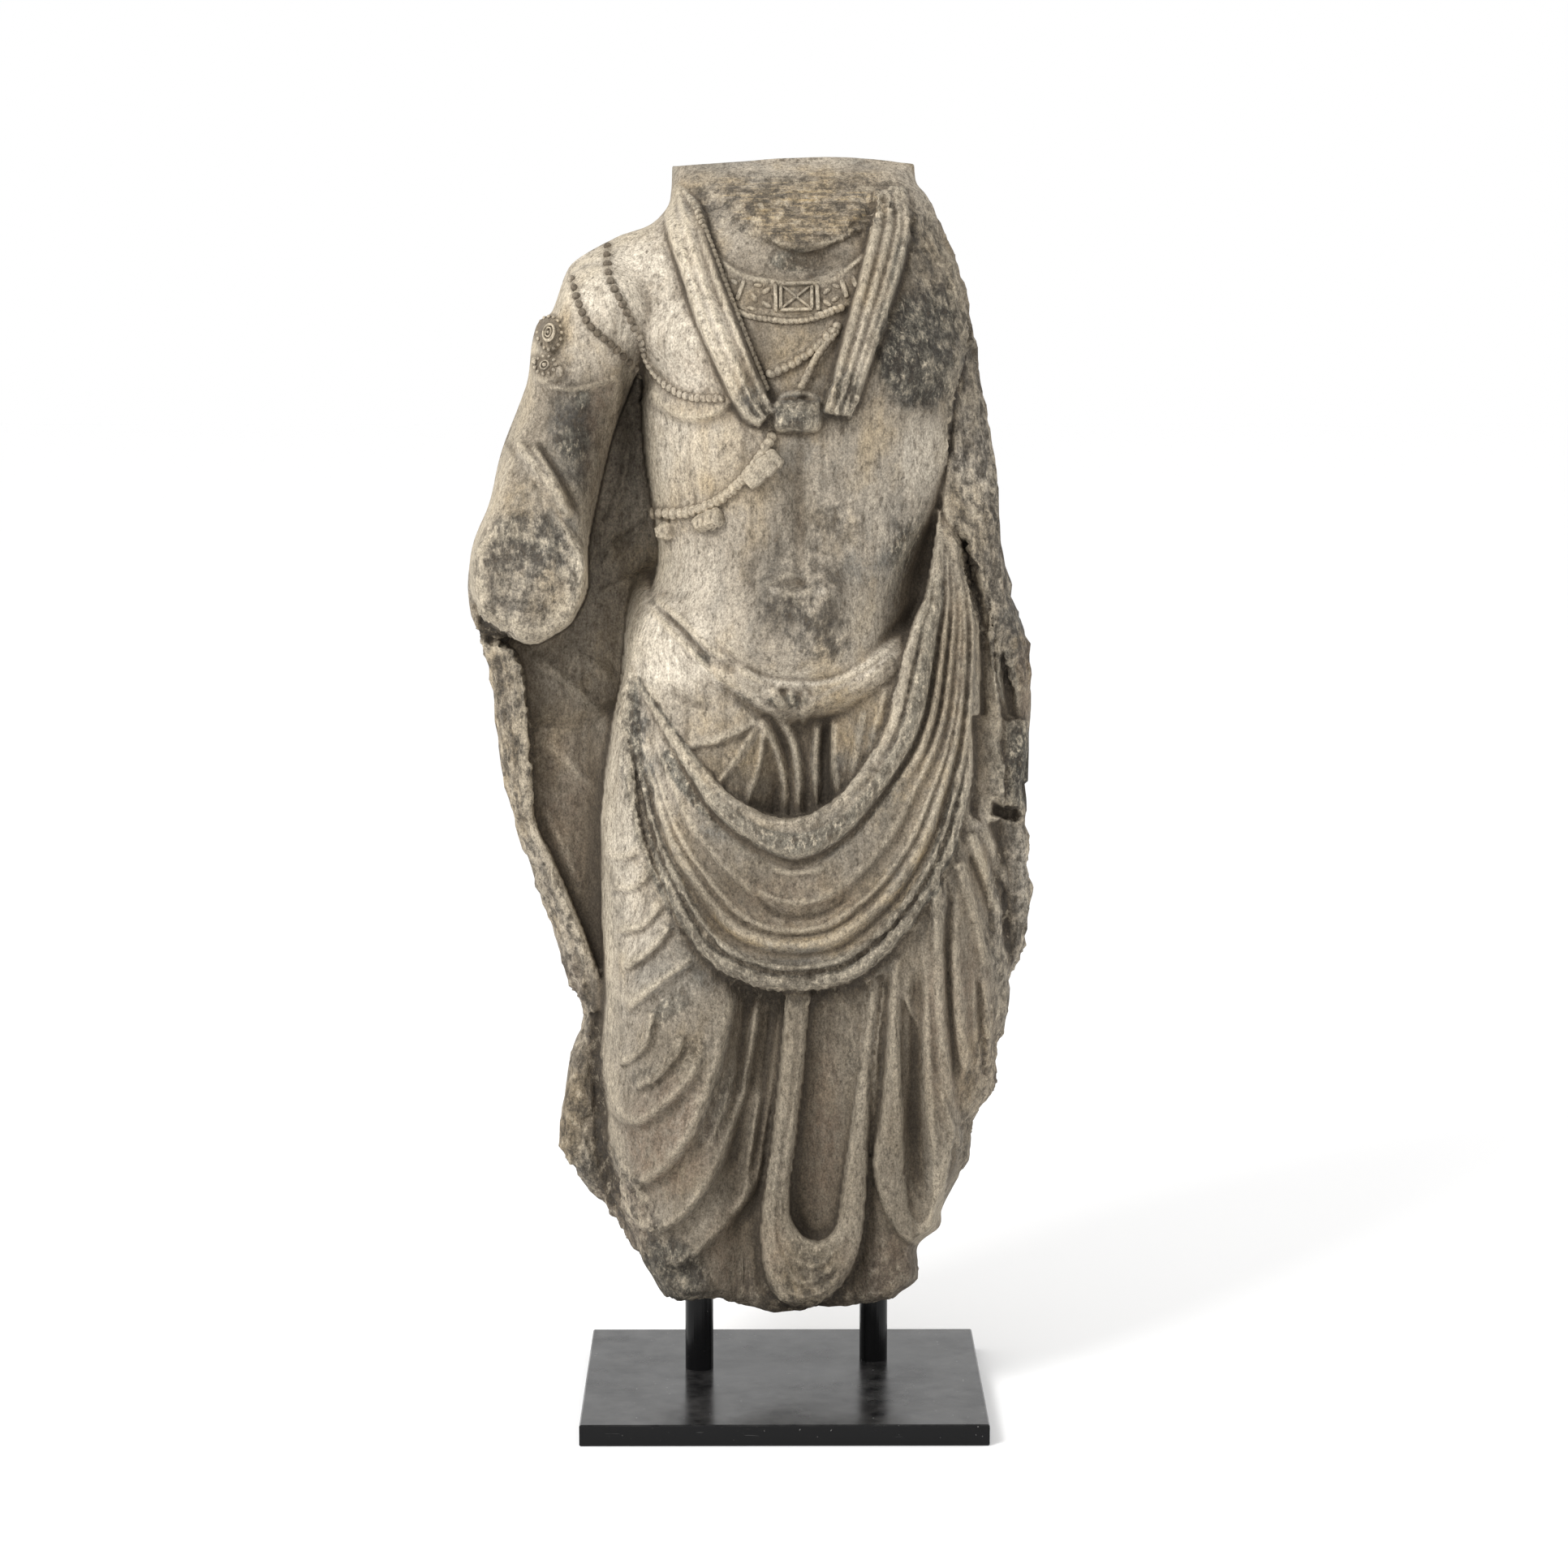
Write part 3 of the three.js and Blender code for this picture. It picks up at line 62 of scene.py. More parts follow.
def blurred(field, reach):
    # The mean over a square of this reach, taken twice
    for axis in (0, 1):
        for again in range(2):
            pad = [(0, 0), (0, 0)]
            pad[axis] = (reach + 1, reach)
            total = np.cumsum(np.pad(field, pad, mode="edge"), axis)
            size = field.shape[axis]
            high = np.take(total, np.arange(2 * reach + 1, 2 * reach + 1 + size), axis)
            low = np.take(total, np.arange(size), axis)
            field = (high - low) / (2 * reach + 1)
    return field


def ease(low, high, value):
    # 0 up to low, 1 from high on, and smooth between; high may also lie below low
    share = clamp((value - low) / (high - low))
    return share * share * (3 - 2 * share)


def softMax(a, b, softness):
    top = np.maximum(a, b)
    return top + softness * np.log(np.exp((a - top) / softness) + np.exp((b - top) / softness))


def hump(value, centre, width):
    return clamp(1 - ((value - centre) / width) ** 2) ** 2


def curve(points, steps=6):
    # A smooth line through the points
    guide = np.array(points, float)
    guide = np.vstack([2 * guide[0] - guide[1], guide, 2 * guide[-1] - guide[-2]])
    line = []
    for a, b, c, d in zip(guide[:-3], guide[1:-2], guide[2:-1], guide[3:]):
        for t in np.arange(steps) / steps:
            line.append(0.5 * (2 * b + (c - a) * t + (2 * a - 5 * b + 4 * c - d) * t ** 2
                               + (3 * b - a - 3 * c + d) * t ** 3))
    line.append(guide[-2])
    return np.array(line)


def lookup(rows, at, column=1):
    # A column of a list of rows, read between its rows
    table = np.array([(row[0], row[column]) for row in rows], float)
    return np.interp(at, table[:, 0], table[:, 1])


def nearest(x, y, line):
    # How far each place is from the line, the share along it, and on which side
    best = np.full(x.shape, 1e9)
    share = np.zeros(x.shape)
    side = np.ones(x.shape)
    last = len(line) - 1
    for i in range(last):
        ax, ay = line[i][:2]
        dx, dy = line[i + 1][:2] - line[i][:2]
        along = clamp(((x - ax) * dx + (y - ay) * dy) / max(dx * dx + dy * dy, 1e-9))
        away = np.hypot(x - ax - along * dx, y - ay - along * dy)
        closer = away < best
        best = np.where(closer, away, best)
        share = np.where(closer, (i + along) / last, share)
        side = np.where(closer, np.sign(dx * (y - ay) - dy * (x - ax)), side)
    return best, share, side


def isInside(x, y, loop):
    found = np.zeros(x.shape, bool)
    for (xa, ya), (xb, yb) in zip(loop, np.roll(loop, 1, axis=0)):
        if ya != yb:
            crosses = (ya > y) != (yb > y)
            found ^= crosses & (x < xa + (xb - xa) * (y - ya) / (yb - ya))
    return found


def foldHeights(folds, across):
    # Folds side by side: middle, half width and rise of each
    return sum(rise * hump(across, centre, width) for centre, width, rise in folds)


# Sections of the carved shapes: how sharp a rib is, the powers of a block's sides and top, and for
# a lap the depth, place and half width of its groove and the power of its slow run
profiles = {"rib": 1.5, "block": (6, 4, 0.4), "lapGroove": (0.2, 1.4, 1.1), "lapRun": 1.3}


class Relief:
    # A field of heights over the drawing
    def __init__(self, x, y):
        self.x = x
        self.y = y
        self.h = np.zeros(x.shape)

    def patch(self, line, margin):
        low = line.min(0)[:2] - margin
        high = line.max(0)[:2] + margin
        columns = np.flatnonzero((self.x.max(0) > low[0]) & (self.x.min(0) < high[0]))
        rows = np.flatnonzero((self.y.max(1) > low[1]) & (self.y.min(1) < high[1]))
        if len(rows) == 0 or len(columns) == 0:
            return slice(0, 0), slice(0, 0)
        return slice(rows[0], rows[-1] + 1), slice(columns[0], columns[-1] + 1)

    def mound(self, x, y, wide, high, rise, turn=0.0, sharpness=1.0):
        self.h += moundHeight(self.x, self.y, (x, y, wide, high, rise, turn, sharpness))

    def block(self, x, y, wide, high, rise, turn):
        across, up = turned(self.x, self.y, x, y, turn)
        sides, ends, top = profiles["block"]
        self.h += rise * clamp(1 - np.abs(across / wide) ** sides - np.abs(up / high) ** ends) ** top

    def rib(self, width, rise, fadeIn, fadeOut, path):
        line = curve(path)
        area = self.patch(line, width)
        away, share = nearest(self.x[area], self.y[area], line)[:2]
        ends = ramp(share, fadeIn) * ramp(1 - share, fadeOut)
        self.h[area] += rise * ends * clamp(1 - (away / width) ** 2) ** profiles["rib"]

    def lap(self, steep, slow, rise, fadeIn, fadeOut, path):
        line = curve(path)
        area = self.patch(line, slow)
        away, share, side = nearest(self.x[area], self.y[area], line)
        ends = ramp(share, fadeIn) * ramp(1 - share, fadeOut)
        depth, middle, half = profiles["lapGroove"]
        foot = 1 - ease(0, steep, away) - depth * hump(away, steep * middle, steep * half)
        run = np.where(side > 0, foot, clamp(1 - away / slow) ** profiles["lapRun"])
        self.h[area] += rise * ends * run

    def band(self, first, second, shape):
        a, b = curve(first), curve(second)
        loop = np.vstack([a, b[::-1]])
        area = self.patch(loop, 2)
        x, y = self.x[area], self.y[area]
        fromA, shareA = nearest(x, y, a)[:2]
        fromB, shareB = nearest(x, y, b)[:2]
        across = fromA / np.maximum(fromA + fromB, 1e-6)
        made = shape(self.h[area], x, y, across, (shareA + shareB) / 2, fromA, fromB)
        self.h[area] = np.where(isInside(x, y, loop), made, self.h[area])


def ramp(share, fade):
    return ease(0, fade, share) if fade > 0 else 1.0


def turned(gridX, gridY, x, y, degrees):
    angle = math.radians(degrees)
    dx, dy = gridX - x, gridY - y
    return (dx * math.cos(angle) + dy * math.sin(angle), dy * math.cos(angle) - dx * math.sin(angle))


def moundHeight(gridX, gridY, settings):
    x, y, wide, high, rise, turn, sharpness = settings
    across, up = turned(gridX, gridY, x, y, turn)
    return rise * clamp(1 - (across / wide) ** 2 - (up / high) ** 2) ** sharpness


def section(across, flatness, roundness):
    return clamp(1 - np.abs(across) ** flatness) ** (1 / roundness)


# Stations of the plain body: y, then sides or middle, then heights towards the viewer
body = {
    "torso": [(188, 828, 1128, -60, -70, -70), (250, 822, 1146, -10, -40, -45),
              (290, 762, 1160, 14, -25, -40), (340, 700, 1183, 28, -14, -35),
              (400, 720, 1190, 42, -10, -25), (460, 786, 1192, 51, -10, -15),
              (500, 790, 1180, 54, -10, -10), (560, 794, 1172, 54, -14, -5),
              (620, 803, 1160, 55, -16, -5), (680, 811, 1145, 58, -18, -8),
              (720, 804, 1135, 63, -16, -12), (760, 786, 1126, 67, -10, -16),
              (800, 774, 1122, 66, -6, -12), (850, 764, 1150, 50, -20, -20),
              (900, 756, 1180, 20, -40, -40), (960, 744, 1200, -50, -70, -70),
              (1640, 744, 1200, -200, -200, -200)],
    "legs": [[(690, 868, 86, -40), (740, 868, 94, 26), (790, 869, 100, 47), (830, 870, 104, 52),
              (900, 868, 114, 54), (1000, 856, 114, 57), (1100, 846, 106, 58), (1200, 838, 94, 58),
              (1300, 832, 90, 57), (1400, 834, 84, 54), (1500, 846, 76, 46), (1640, 866, 66, 34)],
             [(690, 1120, 80, -60), (760, 1116, 86, 0), (820, 1110, 95, 42), (900, 1108, 110, 50),
              (1000, 1108, 120, 54), (1100, 1114, 122, 58), (1200, 1124, 118, 60),
              (1300, 1130, 104, 58), (1400, 1124, 84, 54), (1500, 1110, 66, 44),
              (1640, 1092, 54, 30)]],
    "cloak": [(188, -60), (430, -44), (650, -48), (800, -40), (950, -34), (1100, -26), (1210, -16),
              (1300, -14), (1640, -15)],
    "rightCloak": [(560, -60), (630, 0), (960, 2), (1010, 6), (1100, 4), (1200, -6), (1340, -12),
                   (1420, -30)],
    "shoulder": (745, 395, 66, 100, 104, 12, 0.5),
    "shoulderFoot": -60, "hidden": -200.0,
    # How softly the torso, shoulder, legs and cloak run into each other
    "blends": {"shoulder": 6, "legs": 5, "cloth": 4, "cloak": 3},
    # How flat and how round the sections of the torso and the legs are
    "torsoSection": (2.5, 1.7), "legSection": (2.2, 2),
    "torsoEnd": 1000, "legsStart": 690, "legSide": {"low": -12, "drop": 50, "rows": (690, 790)},
    # The cloth between the legs: level, middle, half width, falls to the sides and to the top
    "between": {"level": 26, "middle": 985, "half": 260, "fall": 60, "above": 90, "rows": (790, 900)},
    "rightCloakFrom": 1138,
    # Mounds: x, y, half width, half height, rise, turn, sharpness; the small ones lie over the breaks
    "mounds": [(862, 432, 78, 74, 13, -8, 1.2), (1110, 430, 80, 72, 8, 8, 1.2),
               (985, 765, 110, 72, 8, 0, 1.3), (985, 640, 10, 120, -3, 0, 1.0),
               (980, 718, 24, 8, -4, 0, 1.0)],
    "smallMounds": [(978, 868, 30, 22, 5, 0, 1.2), (1000, 322, 44, 14, -4, -6, 1.0),
                    (1130, 505, 48, 10, 2, 0, 1.0), (676, 411, 17, 24, 12, 0, 0.5),
                    (675, 411, 7, 10, 2.5, 0, 0.6), (675, 455, 20, 18, 10, 0, 0.5)],
}


def plainBody(x, y):
    blends = body["blends"]
    rows = curve(body["torso"], 8)
    left, right, front, atLeft, atRight = [lookup(rows, y, k) for k in (1, 2, 3, 4, 5)]
    across = (2 * x - left - right) / (right - left)
    side = atLeft + (atRight - atLeft) * (across + 1) / 2
    torso = side + (front - side) * section(across, *body["torsoSection"])
    torso = np.where((np.abs(across) < 1) & (y < body["torsoEnd"]), torso, body["hidden"])
    shoulder = body["shoulderFoot"] + moundHeight(x, y, body["shoulder"])
    shape = softMax(torso, shoulder, blends["shoulder"])
    legSide = body["legSide"]
    for stations in body["legs"]:
        rows = curve(stations, 8)
        middle, half, front = [lookup(rows, y, k) for k in (1, 2, 3)]
        across = (x - middle) / half
        side = legSide["low"] - legSide["drop"] * (1 - ease(*legSide["rows"], y))
        leg = side + (front - side) * section(across, *body["legSection"])
        shown = (np.abs(across) < 1) & (y > body["legsStart"])
        shape = softMax(shape, np.where(shown, leg, body["hidden"]), blends["legs"])
    cloth = body["between"]
    aside = clamp(np.abs(x - cloth["middle"]) / cloth["half"]) ** 4
    level = cloth["level"] - cloth["fall"] * aside - cloth["above"] * (1 - ease(*cloth["rows"], y))
    shape = softMax(shape, level, blends["cloth"])
    rightCloak = np.where(x > body["rightCloakFrom"], lookup(body["rightCloak"], y), body["hidden"])
    shape = softMax(shape, rightCloak, blends["cloth"])
    return softMax(shape, lookup(curve(body["cloak"], 8), y), blends["cloak"])


neck = {
    "x": 985, "y": 205, "wide": 112, "high": 101, "lip": 33, "edge": 10, "sharpness": 4,
    # The break's face behind and its stump: first row, height there, rise per unit or bend
    "face": (196, -64, 1.25), "stump": (200, -62, 0.9),
}


# Waves round a broken face: size, how many and where they begin
breakWaves = ((0.07, 3, 1), (0.05, 7, 0))


def withinBreak(x, y, place):
    # 1 in the middle of a broken face, 0 on its uneven edge
    across, up = (x - place["x"]) / place["wide"], (y - place["y"]) / place["high"]
    angle = np.arctan2(up, across)
    uneven = sum((size * np.sin(count * angle + start) for size, count, start in breakWaves), 1)
    return 1 - (across ** 2 + up ** 2) * uneven


def breakNeck(h, x, y):
    # The break rises to the back, and its stump stands proud of the chest
    row, height, rise = neck["face"]
    slope = height + np.clip(y - row, 0, None) * rise
    within = withinBreak(x, y, neck)
    h = np.minimum(h, slope)
    row, height, bend = neck["stump"]
    share = clamp((y - row) / neck["high"]) ** bend
    fall = neck["edge"] * (1 - clamp(within * neck["sharpness"]))
    stump = height + (neck["lip"] - height) * share - fall
    return np.where(within > 0, softMax(h, np.minimum(stump, slope), 2), h)


arm = {
    "stations": [(742, 392, 66, 6), (714, 460, 66, 8), (697, 520, 61, 12), (676, 590, 65, 18),
                 (656, 660, 71, 24), (652, 712, 73, 26)],
    # The broken face, its rounded edge, how it leans and how far it may swell past its plane
    "broken": {"x": 652, "y": 708, "wide": 71, "high": 82, "h": 60, "roll": 9, "sharpness": 6,
               "lean": (0.04, 0.03), "swell": 1.5},
    "blend": 3,
}


def addArm(h, x, y):
    line = curve(arm["stations"], 8)
    away, share = nearest(x, y, line)[:2]
    place = share * (len(line) - 1)
    steps = np.arange(len(line))
    radius = np.interp(place, steps, line[:, 2])
    axis = np.interp(place, steps, line[:, 3])
    limb = axis + drawing["unit"] * np.sqrt(np.clip(radius ** 2 - away ** 2, 0, None))
    h = np.where(away < radius, softMax(h, limb, arm["blend"]), h)
    cut = arm["broken"]
    within = withinBreak(x, y, cut)
    leanX, leanY = cut["lean"]
    face = cut["h"] + (y - cut["y"]) * leanY + (x - cut["x"]) * leanX
    low = face - cut["roll"] * (1 - clamp(within * cut["sharpness"])) ** 2
    return np.where(within > 0, np.minimum(np.maximum(h, low), face + cut["swell"]), h)


swag = {
    "inner": [(776, 818), (806, 862), (838, 906), (884, 963), (910, 985), (942, 1002), (972, 1007),
              (1003, 1000), (1038, 975), (1068, 936), (1090, 895), (1112, 815), (1125, 767),
              (1141, 728), (1154, 645), (1158, 600)],
    "outer": [(764, 852), (778, 930), (783, 970), (794, 1036), (822, 1104), (850, 1157),
              (881, 1191), (926, 1213), (971, 1221), (1016, 1217), (1061, 1202), (1129, 1136),
              (1178, 1044), (1199, 950), (1206, 880), (1208, 800), (1200, 740), (1175, 640),
              (1166, 600)],
    "level": [(590, 20), (650, 32), (720, 42), (800, 48), (900, 52), (1000, 56), (1230, 62)],
    # The belly of the cloth: rise, middle, half width and the rows where it begins
    "crown": {"rise": 14, "middle": 985, "half": 190, "rows": (880, 1050)},
    # How far the cloth goes back at the left hip and at the right, and between which columns
    "atLeft": (26, (860, 770)), "atRight": (10, (1130, 1215)),
    # Where the folds gather beside the belly: rows, columns, and how much higher they are there
    "gathered": ((1000, 860), (960, 1040), 0.35),
    "topRows": (598, 680), "fullWidth": 90,
    # Rims: depth and width outside, its growth to the right, and depth and width inside
    "rims": {"outer": (2.5, 9), "growth": (5.5, (790, 850)), "inner": (5, 6)},
    "roll": (0.125, 0.125, 10.0), "rollEnd": (0.25, 0.40),
    "folds": [(0.10, 0.03, -1.8), (0.27, 0.05, -3.5), (0.49, 0.05, 2.2), (0.56, 0.06, -2.5),
              (0.65, 0.03, 4.0), (0.685, 0.018, -2.0), (0.735, 0.05, 5.0), (0.80, 0.03, -3.5),
              (0.865, 0.03, 6.0), (0.90, 0.02, -2.5), (0.95, 0.055, 4.5)],
    "sideFolds": [(0.10, 0.022, -3.0), (0.36, 0.07, 5.0), (0.44, 0.05, -4.0), (0.54, 0.05, 4.0)],
    # The folds flatten to this share at the left end, which leans this much down the drawing
    "flatEnd": (770, 900), "flatShare": 0.35, "flatLean": (900, 0.25),
}


def swagShape(h, x, y, across, along, fromInner, fromOuter):
    # The roll takes up more of the width where the folds gather beside the belly
    across = blurred(across, 4)
    rows, columns, higher = swag["gathered"]
    beside = ease(*rows, y) * ease(*columns, x)
    below, above = swag["rollEnd"]
    spread = below + (above - below) * beside
    across = np.where(across < spread, across * below / spread,
                      below + (across - spread) * (1 - below) / (1 - spread))
    crown = swag["crown"]
    bulge = clamp(1 - ((x - crown["middle"]) / crown["half"]) ** 2) * ease(*crown["rows"], y)
    level = lookup(swag["level"], y) + crown["rise"] * bulge
    (left, leftColumns), (right, rightColumns) = swag["atLeft"], swag["atRight"]
    level = level - left * ease(*leftColumns, x) ** 1.5 - right * ease(*rightColumns, x)
    size = np.clip((fromInner + fromOuter) / swag["fullWidth"], 0.35, 1)
    at, width, height = swag["roll"]
    roll = height * np.sqrt(clamp(1 - ((across - at) / width) ** 2))
    folds = foldHeights(swag["folds"], across) + beside * foldHeights(swag["sideFolds"], across)
    (leanFrom, lean), flat = swag["flatLean"], swag["flatShare"]
    grown = flat + (1 - flat) * ease(*swag["flatEnd"], x + (y - leanFrom) * lean)
    folds = folds * (1 + higher * beside) * grown
    (outer, outerWidth), (inner, innerWidth) = swag["rims"]["outer"], swag["rims"]["inner"]
    growth, columns = swag["rims"]["growth"]
    rims = (-outer - growth * ease(*columns, x)) * clamp(1 - fromOuter / outerWidth) ** 2
    rims = rims - inner * clamp(1 - fromInner / innerWidth) ** 2
    made = level + (roll + folds) * size + rims
    return h + (made - h) * ease(*swag["topRows"], y)


# Broken edges of the cloak: first and second edge, then heights down the drawing
cloakEdges = {
    "leftOuter": [(574, 785), (588, 853), (600, 920), (616, 990), (640, 1062), (668, 1140),
                  (688, 1205), (700, 1250)],
    "leftInner": [(630, 797), (646, 830), (652, 904), (660, 1006), (684, 1062), (724, 1158),
                  (746, 1215), (757, 1243)],
    "leftLevel": [(785, -10), (850, -12), (1000, -14), (1100, -12), (1200, -8), (1250, -8)],
    "rightInner": [(1196, 410), (1184, 450), (1173, 497), (1166, 560), (1160, 600), (1165, 640),
                   (1192, 668), (1217, 732), (1224, 779), (1228, 830), (1236, 890)],
    "rightOuter": [(1205, 410), (1212, 450), (1228, 497), (1238, 590), (1250, 680), (1262, 740),
                   (1282, 800), (1284, 850), (1280, 890)],
    "rightLevel": [(410, -22), (500, -4), (560, 4), (600, 12), (650, 24), (700, 24), (800, 18),
                   (890, 4)],
    # Left: rise of the lip beside the inner edge, fall to the outer one; right: fall and groove
    "leftLip": 5, "leftFall": 14, "rightFall": 30, "rightGroove": 5,
}

# Hollows and sheets between the swag and the broken edge: edges, heights down the drawing, how
# much they fall across, and how softly they leave the first edge
sidePieces = {
    "gapByBelly": {"first": [(1153, 622), (1122, 662), (1101, 703), (1078, 762)],
                   "second": [(1160, 632), (1156, 686), (1148, 735), (1132, 787)],
                   "level": [(622, 14), (650, 2), (700, 4), (735, 16), (765, 36), (790, 50)],
                   "fall": 0, "soft": 0.9, "fade": 0.35},
    "upperHollow": {"first": [(1190, 668), (1197, 720), (1199, 780), (1197, 830), (1198, 884)],
                    "second": [(1193, 666), (1216, 730), (1222, 779), (1225, 819), (1234, 880)],
                    "level": [(666, 22), (700, 14), (800, 15), (884, 22)], "fall": -4, "soft": 0.6},
    "lowerHole": {"first": [(1229, 806), (1231, 845), (1237, 880)],
                  "second": [(1238, 802), (1247, 842), (1257, 884)],
                  "level": [(802, 8), (830, -4), (884, -8)], "fall": -6, "soft": 0.6},
    "sheet": {"first": [(1196, 882), (1198, 950), (1195, 1000), (1212, 1016)],
              "second": [(1234, 882), (1236, 940), (1235, 1002), (1218, 1016)],
              "level": [(882, 24), (950, 28), (1016, 24)], "fall": 3, "soft": 0.05},
    "stump": {"first": [(1235, 888), (1235, 940), (1237, 988)],
              "second": [(1280, 886), (1280, 940), (1276, 1002)],
              "level": [(886, 10), (940, 14), (1002, 12)], "fall": 10, "soft": 0.05},
    "underStump": {"first": [(1224, 984), (1240, 990), (1264, 1002)],
                   "second": [(1222, 1002), (1240, 1008), (1262, 1010)],
                   "level": [(984, -4), (1010, -2)], "fall": 0, "soft": 0.6},
}


def carveSide(relief, name):
    piece = sidePieces[name]
    relief.band(piece["first"], piece["second"],
                lambda h, x, y, across, along, *rest: h + ease(0, piece["soft"], across)
                * (lookup(piece["level"], y) - piece["fall"] * across - h)
                * ramp(1 - along, piece.get("fade", 0)))


chest = {
    "strands": [
        {"outer": [(828, 228), (818, 258), (824, 297), (840, 344), (862, 409), (909, 508), (934, 528)],
         "inner": [(839, 226), (866, 256), (875, 291), (892, 344), (928, 438), (956, 506)],
         "rise": 12.0, "folds": [(0.08, 0.1, 3), (0.26, 0.09, 3), (0.5, 0.14, 4), (0.7, 0.06, -3),
                                 (0.86, 0.15, 4.5)]},
        {"outer": [(1116, 230), (1124, 268), (1120, 303), (1106, 356), (1070, 462), (1052, 516)],
         "inner": [(1076, 234), (1073, 274), (1050, 368), (1023, 470), (1014, 506)],
         "rise": 13.0, "folds": [(0.12, 0.09, 3), (0.32, 0.09, 3), (0.42, 0.05, -2.5), (0.55, 0.14, 4),
                                 (0.69, 0.06, -2.5), (0.84, 0.2, 5)]},
    ],
    # Strands start lower by this much at the neck, and reach their height this far from an edge
    "strandStart": 4, "strandEdge": 4,
    # The torque: rise, width of its edge, and the rise of its outer and inner rim
    "torque": {"rise": 3, "edge": 3, "innerRim": 3, "outerRim": 1.5},
    "torqueOuter": [(880, 306), (909, 333), (956, 345), (1003, 347), (1032, 338), (1064, 309)],
    "torqueInner": [(900, 372), (920, 386), (944, 390), (985, 394), (1021, 388), (1046, 376)],
    "blocks": [(982, 513, 31, 20, 13, 0), (939, 578, 24, 9, 7, -42), (873, 641, 19, 9, 6, -22),
               (820, 653, 13, 9, 6, 5)],
}

pleats = [
    {"outer": [(968, 1217), (960, 1310), (950, 1410), (940, 1480), (938, 1530), (944, 1572),
               (962, 1600), (990, 1610), (1018, 1600), (1042, 1574), (1058, 1537), (1066, 1480),
               (1074, 1340), (1090, 1195)],
     "inner": [(999, 1224), (991, 1327), (973, 1473), (981, 1512), (1000, 1527), (1019, 1525),
               (1033, 1505), (1041, 1444), (1062, 1268), (1070, 1210)],
     "level": [(1210, 44), (1350, 44), (1560, 48)], "roll": 9.0, "hollow": [(1230, 40), (1480, 32)],
     "middle": 1020, "lean": 0.16},
    {"outer": [(1091, 1230), (1087, 1340), (1076, 1426), (1081, 1462), (1092, 1497), (1110, 1524),
               (1130, 1532), (1150, 1516), (1162, 1480), (1170, 1440), (1178, 1390)],
     "inner": [(1112, 1230), (1112, 1350), (1118, 1473), (1127, 1500), (1138, 1503), (1147, 1484),
               (1146, 1444), (1132, 1268)],
     "level": [(1230, 56), (1400, 50), (1532, 42)], "roll": 7.0, "hollow": [(1230, 56), (1480, 42)],
     "middle": 1128, "lean": 0.14},
]

